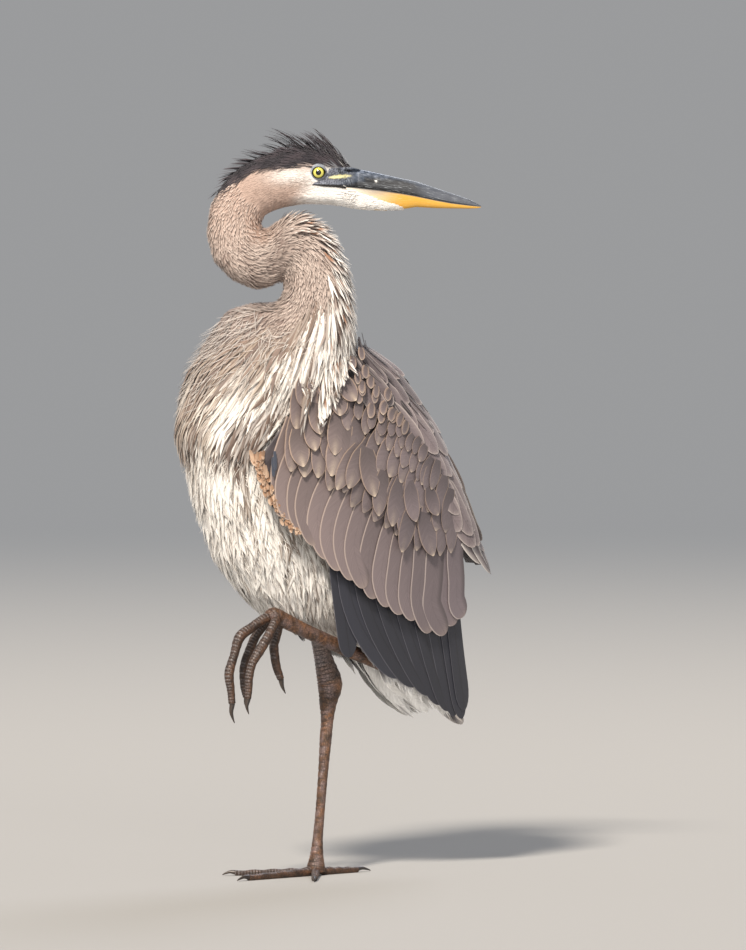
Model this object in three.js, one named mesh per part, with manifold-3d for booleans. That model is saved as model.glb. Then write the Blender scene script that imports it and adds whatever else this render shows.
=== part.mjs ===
// A young great blue heron (Ardea herodias), life size, as a still museum model.
// It stands on its right foot with the left foot lifted, the neck in its S and the head turned
// back over the left wing.
//
// Millimetres. +Z is up, -Y is the way the breast faces and +X is the bird's left.
// The origin is the middle of the standing foot's sole, on the floor.

import * as THREE from "three";
import { mergeVertices } from "three/addons/utils/BufferGeometryUtils.js";
import Module from "manifold-3d";

const wasm = await Module();
wasm.setup();

// ---------------------------------------------------------------- driving sizes

const GAP = 0.35; // between parts that touch
const HEAD_TURN = THREE.MathUtils.degToRad(55); // from +X towards the tail: where the bill points
const NECK_DEPTH = -52; // the neck's plane, measured from the foot along the neck frame's Y

const WING_SPREAD = 84; // from the bird's middle to the outside of a folded wing
const WING_LOW = 150; // height of the longest primary's tip
const WING_WIDEST = 430; // height at which the folded wings stand furthest apart

const TARSUS_SIDES = 10;
const THIGH_SIDES = 10;
const PAD_SIDES = 12;
const TOE_SIDES = 8;
const CLAW_SIDES = 6;

const GREY = 0x8f8684;
const BUFF_GREY = 0xa5968f;
const SLATE = 0x3a3d48;
const CREAM = 0xd9cfc6;
const CAP = 0x35323b;
const HORN = 0x4b4f59;
const YELLOW = 0xe0b95c;
const SCALE_BROWN = 0x5d4536;

// ---------------------------------------------------------------- making solids

function materialOf(color, roughness = 0.85) {
  return new THREE.MeshStandardMaterial({ color, roughness, metalness: 0 });
}

// Closes a stack of rings, each with the same number of points, into one skin with flat ends.
function skinOf(rings) {
  const sides = rings[0].length;
  const points = rings.flat();
  const faces = [];
  for (let r = 0; r + 1 < rings.length; r++) {
    for (let s = 0; s < sides; s++) {
      const a = r * sides + s;
      const b = r * sides + ((s + 1) % sides);
      faces.push(a, b, a + sides, b, b + sides, a + sides);
    }
  }
  for (const [ring, outward] of [[0, false], [rings.length - 1, true]]) {
    const middle = new THREE.Vector3();
    rings[ring].forEach((p) => middle.addScaledVector(p, 1 / sides));
    points.push(middle);
    for (let s = 0; s < sides; s++) {
      const a = ring * sides + s;
      const b = ring * sides + ((s + 1) % sides);
      faces.push(...(outward ? [points.length - 1, a, b] : [points.length - 1, b, a]));
    }
  }
  const geometry = new THREE.BufferGeometry().setFromPoints(points);
  geometry.setIndex(faces);
  return geometry;
}

function solidOf(geometry) {
  const bare = geometry.index ? geometry.toNonIndexed() : geometry.clone();
  bare.deleteAttribute("normal");
  bare.deleteAttribute("uv");
  const merged = mergeVertices(bare, 1e-3);
  const solid = new wasm.Manifold(new wasm.Mesh({
    numProp: 3,
    vertProperties: merged.attributes.position.array,
    triVerts: new Uint32Array(merged.index.array),
  }));
  if (solid.volume() >= 0) return solid;
  const turned = merged.index.array;
  for (let i = 0; i < turned.length; i += 3) [turned[i], turned[i + 1]] = [turned[i + 1], turned[i]];
  return new wasm.Manifold(new wasm.Mesh({
    numProp: 3,
    vertProperties: merged.attributes.position.array,
    triVerts: new Uint32Array(turned),
  }));
}

function geometryOf(solid) {
  const mesh = solid.getMesh();
  const geometry = new THREE.BufferGeometry();
  geometry.setAttribute("position", new THREE.BufferAttribute(new Float32Array(mesh.vertProperties), 3));
  geometry.setIndex(new THREE.BufferAttribute(new Uint32Array(mesh.triVerts), 1));
  geometry.computeVertexNormals();
  return geometry;
}

// The largest single body of a cut, so that no loose chip stays.
function mainBody(solid) {
  const bodies = solid.decompose();
  return bodies.reduce((best, body) => (body.volume() > best.volume() ? body : best));
}

function part(name, shape, color, roughness) {
  const geometry = geometryOf(shape.isBufferGeometry ? solidOf(shape) : shape);
  const mesh = new THREE.Mesh(geometry, materialOf(color, roughness));
  mesh.name = name;
  return mesh;
}

// A ring with rounded corners: squareness 2 is an ellipse, and more is boxier.
function ringOf(centre, across, up, sides, squareness = 2) {
  const ring = [];
  for (let s = 0; s < sides; s++) {
    const angle = (2 * Math.PI * s) / sides;
    const [c, n] = [Math.cos(angle), Math.sin(angle)];
    const power = 2 / squareness;
    ring.push(centre.clone()
      .addScaledVector(across, Math.sign(c) * Math.abs(c) ** power)
      .addScaledVector(up, Math.sign(n) * Math.abs(n) ** power));
  }
  return ring;
}

// A round bent rod through [x, y, z, radius] rows.
function rodOf(rows, sides) {
  const points = rows.map(([x, y, z]) => new THREE.Vector3(x, y, z));
  const rings = points.map((point, i) => {
    const [before, after] = [points[Math.max(i - 1, 0)], points[Math.min(i + 1, points.length - 1)]];
    const way = after.clone().sub(before).normalize();
    const guide = Math.abs(way.y) > 0.9 ? new THREE.Vector3(1, 0, 0) : new THREE.Vector3(0, 1, 0);
    const across = new THREE.Vector3().crossVectors(way, guide).normalize();
    const up = new THREE.Vector3().crossVectors(across, way).normalize();
    const radius = rows[i][3];
    return ringOf(point, across.multiplyScalar(radius), up.multiplyScalar(radius), sides);
  });
  return skinOf(rings);
}

const grownRows = (rows, grow) => rows.map(([x, y, z, radius]) => [x, y, z, radius + grow]);

// ---------------------------------------------------------------- trunk

// [height, middle in Y, half depth, half width] from the shoulders down to the undertail feathers.
const TRUNK_SECTIONS = [
  [600, -60, 18, 15],
  [592, -57, 50, 40],
  [557, -46, 88, 58],
  [526, -44, 109, 68],
  [495, -36, 125, 74],
  [459, -29, 137, 78],
  [422, -14, 139, 78],
  [381, -4, 136, 74],
  [334, 8, 129, 65],
  [297, 19.5, 109, 54],
  [273, 30, 89, 41],
  [250, 66, 53, 24],
  [225, 97, 33, 22],
  [195, 124, 19, 20],
  [178, 138, 6, 10],
];
const TRUNK_SQUARENESS = 2.3;
const TRUNK_SIDES = 20;

function trunkLoft(grow) {
  const rings = TRUNK_SECTIONS.map(([z, y, depth, width]) => ringOf(
    new THREE.Vector3(0, y, z),
    new THREE.Vector3(width + grow, 0, 0),
    new THREE.Vector3(0, depth + grow, 0),
    TRUNK_SIDES,
    TRUNK_SQUARENESS,
  ));
  const [top, bottom] = [rings[0], rings[rings.length - 1]];
  top.forEach((p) => (p.z += grow));
  bottom.forEach((p) => (p.z -= grow));
  return solidOf(skinOf(rings));
}

// ---------------------------------------------------------------- neck and head, in the neck's own frame
// X is the way the bill points, Z is up, and the neck bends in the plane Y = 0.

// [back X, back Z, throat X, throat Z, half width] from the bill's root, over the crown and down the S.
const HEAD_SECTIONS = [
  [34, 737, 34, 696, 10.5],
  [25, 746, 25, 695.5, 14],
  [10, 753, 10, 697, 17.5],
  [-11, 757, -11, 697.5, 20],
  [-34, 756, -31, 694.5, 21.5],
  [-58, 749, -44, 690, 22],
  [-79, 738, -50, 686.5, 22.5],
  [-97, 721, -53, 684, 23],
];
const NECK_SECTIONS = [
  [-97, 721, -53, 684, 23],
  [-110, 698, -54.5, 681, 24],
  [-114.5, 668, -55.5, 678, 25],
  [-107, 639, -55, 675.5, 26],
  [-87.5, 619, -53, 674, 26.5],
  [-62, 608.5, -50, 675.5, 27],
  [-42.5, 613, -43.5, 681, 27.5],
  [-35, 622, -29, 689.5, 28],
  [-32.5, 628, -10, 689, 28.5],
  [-31.5, 630, 9.5, 675, 29],
  [-32, 629, 23, 656, 29.5],
  [-32.8, 619.5, 33, 630, 31],
  [-38.5, 605, 38, 599, 35],
  [-53, 586, 40, 565, 42],
  [-78, 560, 36, 528, 52],
  [-112, 535, 24, 488, 60],
];
const NECK_CUTS = [0, 3, 6, 10, 12]; // sections at which the neck is divided
const HEAD_SIDES = 16;
const HEAD_SQUARENESS = 2.2;

// A length of head or neck, pulled in at its ends so that the next one leaves a gap.
function neckLoft(sections, grow = 0, trim = GAP / 2) {
  const rings = sections.map(([backX, backZ, throatX, throatZ, halfWidth]) => {
    const back = new THREE.Vector3(backX, 0, backZ);
    const throat = new THREE.Vector3(throatX, 0, throatZ);
    const up = back.clone().sub(throat).multiplyScalar(0.5);
    up.setLength(up.length() + grow);
    const across = new THREE.Vector3(0, halfWidth + grow, 0);
    return ringOf(back.add(throat).multiplyScalar(0.5), across, up, HEAD_SIDES, HEAD_SQUARENESS);
  });
  const pull = (ring, inner) => ring.forEach((p, i) => p.add(inner[i].clone().sub(p).setLength(trim)));
  pull(rings[0], rings[1]);
  pull(rings[rings.length - 1], rings[rings.length - 2]);
  return solidOf(skinOf(rings));
}

function headFrameGroup() {
  const group = new THREE.Group();
  group.rotation.z = HEAD_TURN;
  group.position.set(-Math.sin(HEAD_TURN) * NECK_DEPTH, Math.cos(HEAD_TURN) * NECK_DEPTH, 0);
  group.updateMatrix();
  return group;
}

function inBody(solid, group) {
  return solidOf(geometryOf(solid).applyMatrix4(group.matrix));
}

// Bill: [X, top Z, mouth Z, bottom Z, half width]
const BILL_SECTIONS = [
  [34, 736.5, 716.5, 695.5, 10.5],
  [44, 735, 715.6, 694, 9.6],
  [67.6, 730.1, 712.9, 692.8, 7.8],
  [87.4, 725.6, 710.1, 693.8, 6.6],
  [103.7, 722.1, 707.2, 696.3, 5.8],
  [123.7, 715.5, 703, 695.2, 4.6],
  [140, 710, 700, 694.9, 3.5],
  [159, 703.5, 697.6, 694.7, 2.2],
  [169.5, 698.2, 696.6, 695.2, 0.7],
];
const BILL_SIDES = 10;
const EYE = { x: 3.1, z: 731.7, out: 10.6, radius: 8.2 };

// One half of the bill: its rings run round the ridge and close flat along the mouth.
function billHalf(isUpper) {
  const rings = BILL_SECTIONS.map(([x, top, mouth, bottom, halfWidth], i) => {
    const flat = mouth + (isUpper ? GAP / 2 : -GAP / 2);
    const ridge = isUpper ? top : bottom;
    const ring = [];
    for (let s = 0; s <= BILL_SIDES / 2; s++) {
      const angle = (Math.PI * s) / (BILL_SIDES / 2);
      const rise = (ridge - flat) * Math.sin(angle) ** 0.9;
      ring.push(new THREE.Vector3(x + (i ? 0 : GAP), halfWidth * Math.cos(angle), flat + rise));
    }
    return ring;
  });
  return solidOf(skinOf(rings));
}

// Crest: each lock is [root X, root Z, tip X, tip Z, root radius].
const CREST_LOCKS = [
  [31, 738, 21, 753, 5],
  [25, 742, 4.5, 774, 5],
  [18, 746, -8, 774, 6],
  [10, 749, -17, 772.5, 6.5],
  [-6, 751, -44, 776.5, 7],
  [-20, 751, -56, 768.5, 7.5],
  [-34, 749, -66, 760, 9],
  [-52, 744, -84, 746, 9],
  [-70, 736, -100, 728, 8],
  [-86, 724, -112, 704, 6.5],
];

const CREST_THICKNESS = 2.6;
const CAP_EDGE_NORMAL = new THREE.Vector3(-35, 0, 139).normalize().toArray();
const CAP_EDGE_OFFSET = new THREE.Vector3(-105, 0, 706).dot(new THREE.Vector3(...CAP_EDGE_NORMAL));

// The dark cap over the crown, with its loose locks standing off it.
function crestSolid(headGrown, capBlank) {
  const cap = capBlank.trimByPlane(CAP_EDGE_NORMAL, CAP_EDGE_OFFSET);
  const locks = CREST_LOCKS.map(([rootX, rootZ, tipX, tipZ, radius]) => {
    const rows = [0, 0.5, 1].map((t) => {
      const bow = 5 * Math.sin(Math.PI * t);
      return [
        rootX + (tipX - rootX) * t + 0.4 * bow, 0, rootZ + (tipZ - rootZ) * t + bow, radius * (1 - 0.9 * t),
      ];
    });
    return solidOf(rodOf(rows, 5));
  });
  return mainBody(locks.reduce((all, lock) => all.add(lock), cap).subtract(headGrown));
}

// ---------------------------------------------------------------- wings

const WING_CURL_LOW = 46; // how far the tips turn in under the widest place
const WING_CURL_HIGH = 0.0013; // per square mm above it
const WING_CURL_BACK = 14;
const WING_CURL_FRONT = 9;
const WING_AXIS = -10; // Y of the outermost line, with the wing's reach behind and before it
const WING_BEHIND = 165;
const WING_BEFORE = 100;

// How far a folded wing's outside stands from the bird's middle, at a place on its side.
function wingOut(y, z) {
  const low = Math.max(0, (WING_WIDEST - z) / (WING_WIDEST - WING_LOW));
  const high = Math.max(0, z - WING_WIDEST);
  const back = Math.max(0, y - WING_AXIS) / WING_BEHIND;
  const front = Math.max(0, WING_AXIS - y) / WING_BEFORE;
  return WING_SPREAD - WING_CURL_LOW * low ** 1.8 - WING_CURL_HIGH * high ** 2
    - WING_CURL_BACK * back ** 2 - WING_CURL_FRONT * front ** 2;
}

// Each column of the folded wing, leading edge first, as [Y, Z] of its root under the shoulder
// feathers, of the coverts' hem and of the secondary's tip.
const ARM_COLUMNS = [
  [[-120, 440], [-117, 423], [-106, 385]],
  [[-92, 474], [-98, 429], [-92, 366]],
  [[-59, 511], [-76, 423], [-70, 345]],
  [[-22, 545], [-48, 407], [-45, 316]],
  [[15, 485], [-18, 393], [-18, 298]],
  [[43, 453], [12, 376], [8, 284]],
  [[70, 422], [40, 355], [34, 272]],
  [[92, 396], [74, 341], [66, 263]],
  [[112, 366], [108, 336], [98, 248]],
  [[117, 359], [118, 342], [124, 245]],
];
// Roots and tips of the primaries, outermost first.
const PRIMARY_COLUMNS = [
  [[-30, 322], [-2, 229]],
  [[-4, 306], [18, 226]],
  [[14, 298], [42, 221]],
  [[36, 290], [67, 212]],
  [[57, 284], [86, 205]],
  [[76, 278], [106, 195]],
  [[93, 276], [125, 187]],
  [[106, 290], [152, 170]],
  [[113, 312], [172, 160]],
  [[119, 336], [182, 160]],
];
// The roof of long feathers over the back, from the shoulders down: the height of each row, its Y where it
// leaves the side of the wing and its Y at the bird's middle.
const ROOF_ROWS = [
  [550, -18, 47],
  [517, -3, 96],
  [488, 18, 117],
  [457, 46, 136],
  [426, 73, 150],
  [400, 96, 161],
  [369, 119, 173],
  [346, 140, 180],
  [318, 166, 195],
];
const ROOF_HEM = 4; // the row where the shoulder feathers end and the tertials show
const ROOF_COLUMNS = 9;
const ROOF_THICKNESS = [24, 20, 16, 12, 9, 7, 5, 3, 1.6];
const COLUMNS_PER_FEATHER = 3;

function sheetOf(outside, inside) {
  const [rows, columns] = [outside.length, outside[0].length];
  const points = [...outside.flat(), ...inside.flat()];
  const faces = [];
  const quad = (a, b, c, d) => faces.push(a, b, c, a, c, d);
  const out = (r, c) => r * columns + c;
  const inn = (r, c) => rows * columns + out(r, c);
  for (let r = 0; r + 1 < rows; r++) {
    for (let c = 0; c + 1 < columns; c++) {
      quad(out(r, c), out(r + 1, c), out(r + 1, c + 1), out(r, c + 1));
      quad(inn(r, c), inn(r, c + 1), inn(r + 1, c + 1), inn(r + 1, c));
    }
    quad(out(r, 0), inn(r, 0), inn(r + 1, 0), out(r + 1, 0));
    quad(out(r + 1, columns - 1), inn(r + 1, columns - 1), inn(r, columns - 1), out(r, columns - 1));
  }
  for (let c = 0; c + 1 < columns; c++) {
    quad(out(0, c + 1), inn(0, c + 1), inn(0, c), out(0, c));
    quad(out(rows - 1, c), inn(rows - 1, c), inn(rows - 1, c + 1), out(rows - 1, c + 1));
  }
  const geometry = new THREE.BufferGeometry().setFromPoints(points);
  geometry.setIndex(faces);
  return geometry;
}

// Reads a table of columns at any place across it, 0 to 1.
function across(table, share) {
  const place = share * (table.length - 1);
  const i = Math.min(Math.floor(place), table.length - 2);
  const mix = (a, b) => a + (b - a) * (place - i);
  return table[i].map(([y, z], k) => [mix(y, table[i + 1][k][0]), mix(z, table[i + 1][k][1])]);
}

// The layers on the side of a wing: `from` is the entry of a column that a layer starts at, `notch` how deep
// the gaps between its feather tips are, and `thick` its thickness at root and tip.
const WING_LAYERS = {
  coverts: { table: ARM_COLUMNS, from: 0, feathers: 9, notch: 5, rows: 3, lift: 2, thick: [10, 10] },
  secondaries: { table: ARM_COLUMNS, from: 1, feathers: 12, notch: 7, rows: 2, lift: 0, thick: [3, 1.2] },
  primaries: { table: PRIMARY_COLUMNS, from: 0, feathers: 8, notch: 12, rows: 3, lift: -3.6, thick: [2, 1] },
};

// A layer of the folded wing. Its lower edge is scalloped, one round tip to each feather.
function wingLayer({ table, from, feathers, notch, rows, lift, thick }) {
  const columns = feathers * COLUMNS_PER_FEATHER;
  const outside = [];
  const inside = [];
  for (let r = 0; r <= rows; r++) {
    outside.push([]);
    inside.push([]);
    const thickness = thick[0] + ((thick[1] - thick[0]) * r) / rows;
    for (let c = 0; c <= columns; c++) {
      const line = across(table, c / columns);
      const [root, tip] = [new THREE.Vector2(...line[from]), new THREE.Vector2(...line[from + 1])];
      const phase = (c % COLUMNS_PER_FEATHER) / COLUMNS_PER_FEATHER;
      const gap = notch * (1 - Math.sin(Math.PI * phase) ** 0.5);
      const reach = root.distanceTo(tip);
      const place = root.lerp(tip, ((r / rows) * (reach - gap - GAP) + GAP) / reach);
      const outer = wingOut(place.x, place.y) + lift;
      outside[r].push(new THREE.Vector3(outer, place.x, place.y));
      inside[r].push(new THREE.Vector3(outer - thickness, place.x, place.y));
    }
  }
  return solidOf(sheetOf(outside, inside));
}

const TERTIAL_TIPS = 12;

// One side of the roof over the back, between two of its rows. It turns from the side of the wing to the
// middle of the back along a quarter of an ellipse.
function roofSheet(from, to, tipDrop) {
  const outside = [];
  const inside = [];
  ROOF_ROWS.slice(from, to + 1).forEach(([height, sideY, middleY], r) => {
    const thickness = ROOF_THICKNESS[from + r];
    outside.push([]);
    inside.push([]);
    for (let c = 0; c <= ROOF_COLUMNS; c++) {
      const angle = ((0.5 * Math.PI * c) / ROOF_COLUMNS) * 0.99;
      const [cos, sin] = [Math.cos(angle), Math.sin(angle)];
      const bulge = Math.sin((Math.PI * (c % COLUMNS_PER_FEATHER)) / COLUMNS_PER_FEATHER);
      const drop = from + r === to ? tipDrop * bulge : 0;
      const edge = r === 0 && from > 0 ? GAP : 0;
      const point = new THREE.Vector3(
        wingOut(sideY, height) * cos, sideY + GAP + (middleY - sideY) * sin, height + GAP - drop - edge,
      );
      outside[r].push(point);
      const inner = point.clone().sub(new THREE.Vector3(thickness * cos, thickness * sin, 0));
      inside[r].push(inner.setX(Math.max(inner.x, 0.5)));
    }
  });
  return solidOf(sheetOf(outside, inside));
}

function wingSolids() {
  const layers = Object.entries(WING_LAYERS).map(([name, layer]) => [name, wingLayer(layer)]);
  return {
    ...Object.fromEntries(layers),
    scapulars: roofSheet(0, ROOF_HEM, 0),
    tertials: roofSheet(ROOF_HEM, ROOF_ROWS.length - 1, TERTIAL_TIPS),
  };
}

// ---------------------------------------------------------------- tail

// [Y, Z, half width, thickness] from under the rump to the tips.
const TAIL_ROWS = [
  [100, 262, 18, 7],
  [122, 232, 21, 6],
  [142, 205, 21, 4.5],
  [160, 181, 19, 3.5],
  [176, 160, 17, 2.4],
];
const TAIL_FEATHERS = 4;
const TAIL_TIP_ROUND = 9;

function tailSolid() {
  const outside = [];
  const inside = [];
  const columns = TAIL_FEATHERS * COLUMNS_PER_FEATHER;
  const last = TAIL_ROWS.length - 1;
  const [tip, above] = [TAIL_ROWS[last], TAIL_ROWS[last - 1]];
  const run = new THREE.Vector2(tip[0] - above[0], tip[1] - above[1]).normalize();
  TAIL_ROWS.forEach(([y, z, halfWidth, thickness], r) => {
    outside.push([]);
    inside.push([]);
    for (let c = 0; c <= columns; c++) {
      const share = (2 * c) / columns - 1;
      const phase = (c % COLUMNS_PER_FEATHER) / COLUMNS_PER_FEATHER;
      const reach = r === last ? TAIL_TIP_ROUND * (1 - share * share) + 3 * Math.sin(Math.PI * phase) : 0;
      const roof = 5 * share * share;
      const place = [share * halfWidth, y + run.x * reach - roof, z + run.y * reach - 0.5 * roof];
      outside[r].push(new THREE.Vector3(...place));
      inside[r].push(new THREE.Vector3(place[0], place[1] - thickness * 0.87, place[2] - thickness * 0.5));
    }
  });
  return solidOf(sheetOf(outside, inside));
}

// ---------------------------------------------------------------- legs and feet

const TARSUS_ROWS_RIGHT = [
  [-27, 31, 214, 8.6],
  [-25.5, 34.5, 203, 11],
  [-24.5, 35, 194, 11.2],
  [-22.5, 31, 178, 8.2],
  [-17, 24, 140, 6.2],
  [-10, 14, 86, 4.9],
  [-3.5, 4.5, 36, 5.2],
  [-1, 1, 18, 7.6],
  [0, 0, 8, 9.5],
];
const TIBIA_ROWS_RIGHT = [
  [-28.5, 22.6, 248, 6.8],
  [-28.3, 24.5, 240, 6.8],
  [-27.8, 27, 230, 7.2],
  [-27, 30.4, 215.6, 8.4],
];
const THIGH_ROWS_RIGHT = [
  [-31, 8, 330, 27],
  [-30, 12, 300, 22],
  [-29, 16, 277, 15],
  [-28.5, 22.5, 248.6, 9],
];
const TARSUS_ROWS_LEFT = [
  [29, 103, 204, 6],
  [29, 99, 203, 9.6],
  [29, 93, 204, 10.6],
  [29.4, 82, 207.5, 8.4],
  [31.5, 52, 220, 6.2],
  [33.5, 2, 242, 5.6],
  [35, -45, 261, 5.8],
  [35.6, -66, 270, 7],
  [36, -78, 275, 8.6],
];
const TIBIA_ROWS_LEFT = [
  [34.4, 47, 251.5, 6.8],
  [33.4, 56, 244, 6.8],
  [31, 72, 231, 7.4],
  [29.2, 90, 216.5, 9.6],
  [29, 96, 212, 6],
];
const THIGH_ROWS_LEFT = [
  [33, -30, 320, 27],
  [33.5, 2, 290, 21],
  [34, 26, 268, 14.5],
  [34.4, 46.4, 252, 9],
];

// Standing toes: name, turn from straight ahead towards the bird's left in degrees, length and thickness.
const STANDING_TOES = [
  { name: "middle", turn: 9, length: 96, radius: 5 },
  { name: "inner", turn: 54, length: 74, radius: 4.6 },
  { name: "outer", turn: -33, length: 84, radius: 4.6 },
  { name: "hind", turn: 188, length: 58, radius: 4.8 },
];
const CLAW_LENGTH = { middle: 17, inner: 15, outer: 14, hind: 20 };
const CLAW_LIFT = 0.2; // claws of the standing foot clear the floor
const TOE_ROOT = 13; // from the middle of the pad

// Lifted toes, as [X, Y, Z, radius] from the knuckle down; the last row is where the claw begins.
const LIFTED_TOES = {
  middle: [[36, -89.5, 271.5, 5.2], [36.5, -106, 263, 5], [37, -121, 253.5, 5.4], [37, -128, 235, 4.4],
    [37, -134, 217, 4.9], [37, -132, 200, 4], [37, -130.5, 186, 3.6]],
  outer: [[46, -84, 266, 5], [49, -94, 254, 4.9], [50, -105, 240, 5.2], [50, -114, 227, 4.3],
    [50, -118, 213, 4.2], [50, -118.5, 202, 3.8], [50, -119.5, 191, 3.3]],
  inner: [[27, -83, 265, 4.8], [23, -91, 254, 4.7], [21.5, -97, 241, 4.8], [21, -105, 222, 4.2],
    [21, -105, 203, 3.8], [21, -102, 191, 3.4]],
  hind: [[35, -71.5, 262.5, 4.8], [34, -73.5, 252, 4.6], [33.5, -76, 243, 4.8], [33.5, -73, 223, 4.4],
    [33.5, -67.5, 209, 3.6]],
};
const LIFTED_CLAWS = {
  middle: [[37, -130.4, 184.8, 2.7], [37, -131.4, 176, 1.8], [37, -127.5, 165.5, 0.5]],
  outer: [[50, -119.6, 189.8, 2.6], [50, -121, 183, 1.7], [50, -118.5, 175, 0.5]],
  inner: [[21, -101.9, 189.4, 2.6], [21, -102.6, 183.6, 1.6], [21, -99.5, 177, 0.5]],
  hind: [[33.5, -67, 207.6, 2.7], [33.5, -65.4, 201, 1.8], [33.5, -61.5, 193.5, 0.5]],
};

// Sets every point that would be under the floor on it, which leaves a small flat.
function flattened(geometry, floor = 0) {
  const places = geometry.getAttribute("position");
  for (let i = 0; i < places.count; i++) places.setZ(i, Math.max(places.getZ(i), floor));
  return geometry;
}

// A toe lying along +X on the floor, with a swelling at each joint.
function standingToe({ length, radius }) {
  const joints = 4;
  const rows = [];
  for (let i = 0; i <= joints * 2; i++) {
    const share = i / (joints * 2);
    const size = radius * (1 - 0.34 * share) * (i % 2 ? 0.88 : 1);
    const rise = i === 0 ? 1.5 : 0;
    rows.push([TOE_ROOT + share * (length - TOE_ROOT), 0, size * 0.86 + rise, size]);
  }
  return flattened(rodOf(rows, TOE_SIDES));
}

function standingClaw({ name, length, radius }) {
  const reach = CLAW_LENGTH[name];
  const base = radius * 0.5;
  return flattened(rodOf([
    [length + GAP, 0, base + 1, base],
    [length + reach * 0.4, 0, base + 1.6, base * 0.72],
    [length + reach * 0.78, 0, base * 0.7 + 0.6, base * 0.42],
    [length + reach, 0, 0.9, 0.5],
  ], CLAW_SIDES), CLAW_LIFT);
}

function standingFoot() {
  const foot = new THREE.Group();
  for (const toe of STANDING_TOES) {
    const way = new THREE.Group();
    way.rotation.z = THREE.MathUtils.degToRad(toe.turn - 90);
    way.add(part("right_toe_" + toe.name, standingToe(toe), SCALE_BROWN, 0.6));
    way.add(part("right_claw_" + toe.name, standingClaw(toe), HORN, 0.45));
    foot.add(way);
  }
  return foot;
}

// [height, radius] of the pad under the standing foot.
const PAD_ROWS = [
  [0, 10],
  [3, 11.1],
  [7, 9.9],
  [11, 7],
];

function tarsusRight() {
  const pad = rodOf(PAD_ROWS.map(([height, radius]) => [0, 0, height, radius]), PAD_SIDES);
  return mainBody(solidOf(pad).add(solidOf(rodOf(TARSUS_ROWS_RIGHT, TARSUS_SIDES))));
}

// ---------------------------------------------------------------- the bird

const bird = new THREE.Group();
bird.name = "great_blue_heron";
const headFrame = headFrameGroup();

// Neck lengths and head, in the neck's frame.
const neckRing = (i) => NECK_SECTIONS.slice(NECK_CUTS[i], NECK_CUTS[i + 1] + 1);
const eyeBall = (side, radius) => {
  const ball = new THREE.SphereGeometry(radius, 10, 8);
  ball.translate(EYE.x, side * EYE.out, EYE.z);
  return ball;
};
let head = neckLoft(HEAD_SECTIONS);
let crest = crestSolid(
  neckLoft([...HEAD_SECTIONS, ...NECK_SECTIONS.slice(1, 3)], GAP, 0),
  neckLoft([...HEAD_SECTIONS.slice(1), NECK_SECTIONS[1]], CREST_THICKNESS, 0),
);
for (const side of [1, -1]) {
  const socket = solidOf(eyeBall(side, EYE.radius + GAP));
  head = head.subtract(socket);
  crest = crest.subtract(socket);
}
headFrame.add(part("head", mainBody(head), CREAM));
headFrame.add(part("crest", mainBody(crest), CAP));
headFrame.add(part("neck_top", neckLoft(neckRing(0)), BUFF_GREY));
headFrame.add(part("neck_bend", neckLoft(neckRing(1)), BUFF_GREY));
headFrame.add(part("neck_kink", neckLoft(neckRing(2)), BUFF_GREY));
headFrame.add(part("neck_lower", neckLoft(neckRing(3)), BUFF_GREY));
headFrame.add(part("bill_upper", billHalf(true), HORN, 0.4));
headFrame.add(part("bill_lower", billHalf(false), YELLOW, 0.4));
headFrame.add(part("eye_left", eyeBall(1, EYE.radius), YELLOW, 0.1));
headFrame.add(part("eye_right", eyeBall(-1, EYE.radius), YELLOW, 0.1));
bird.add(headFrame);

// Trunk and neck base, modelled whole and parted along a slanting cut behind the breast plumes.
const neckRoot = NECK_SECTIONS.slice(NECK_CUTS[4]);
const rootGrown = inBody(neckLoft(neckRoot, GAP, 0), headFrame);
const torso = trunkLoft(0).add(inBody(neckLoft(neckRoot), headFrame));
const torsoGrown = trunkLoft(GAP).add(rootGrown);
const PLUME_CUT_TOP = new THREE.Vector3(0, -8, 600);
const PLUME_CUT_HEM = new THREE.Vector3(0, -176, 436);
const along = PLUME_CUT_TOP.clone().sub(PLUME_CUT_HEM).normalize();
const cutNormal = new THREE.Vector3(0, -along.z, along.y);
const cutOffset = cutNormal.dot(PLUME_CUT_HEM);
const breastPlumes = mainBody(torso.trimByPlane(cutNormal.toArray(), cutOffset + GAP / 2));
const grownRod = (rows, sides) => solidOf(rodOf(grownRows(rows, GAP), sides));
let trunk = torso.trimByPlane(cutNormal.clone().negate().toArray(), -cutOffset + GAP / 2);
for (const rows of [THIGH_ROWS_RIGHT, THIGH_ROWS_LEFT, TIBIA_ROWS_LEFT]) {
  trunk = trunk.subtract(grownRod(rows, THIGH_SIDES));
}
bird.add(part("breast_plumes", breastPlumes, CREAM));
bird.add(part("trunk", mainBody(trunk), CREAM));

// Wings: the right one is held a little tighter and further back.
const RIGHT_WING = { squeeze: 0.97, lift: THREE.MathUtils.degToRad(5), shoulder: [0, 540] };
const colours = { coverts: GREY, secondaries: BUFF_GREY, primaries: SLATE, scapulars: GREY, tertials: GREY };
for (const [side, name] of [[1, "left"], [-1, "right"]]) {
  const wing = wingSolids();
  for (const [layer, solid] of Object.entries(wing)) {
    const geometry = geometryOf(solid);
    if (side < 0) {
      const [y, z] = RIGHT_WING.shoulder;
      geometry.scale(-RIGHT_WING.squeeze, 1, 1);
      geometry.translate(0, -y, -z).rotateX(RIGHT_WING.lift).translate(0, y, z);
    }
    bird.add(part(`${name}_wing_${layer}`, mainBody(solidOf(geometry).subtract(torsoGrown)), colours[layer]));
  }
}

bird.add(part("tail", mainBody(tailSolid().subtract(trunkLoft(GAP))), SLATE));

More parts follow.
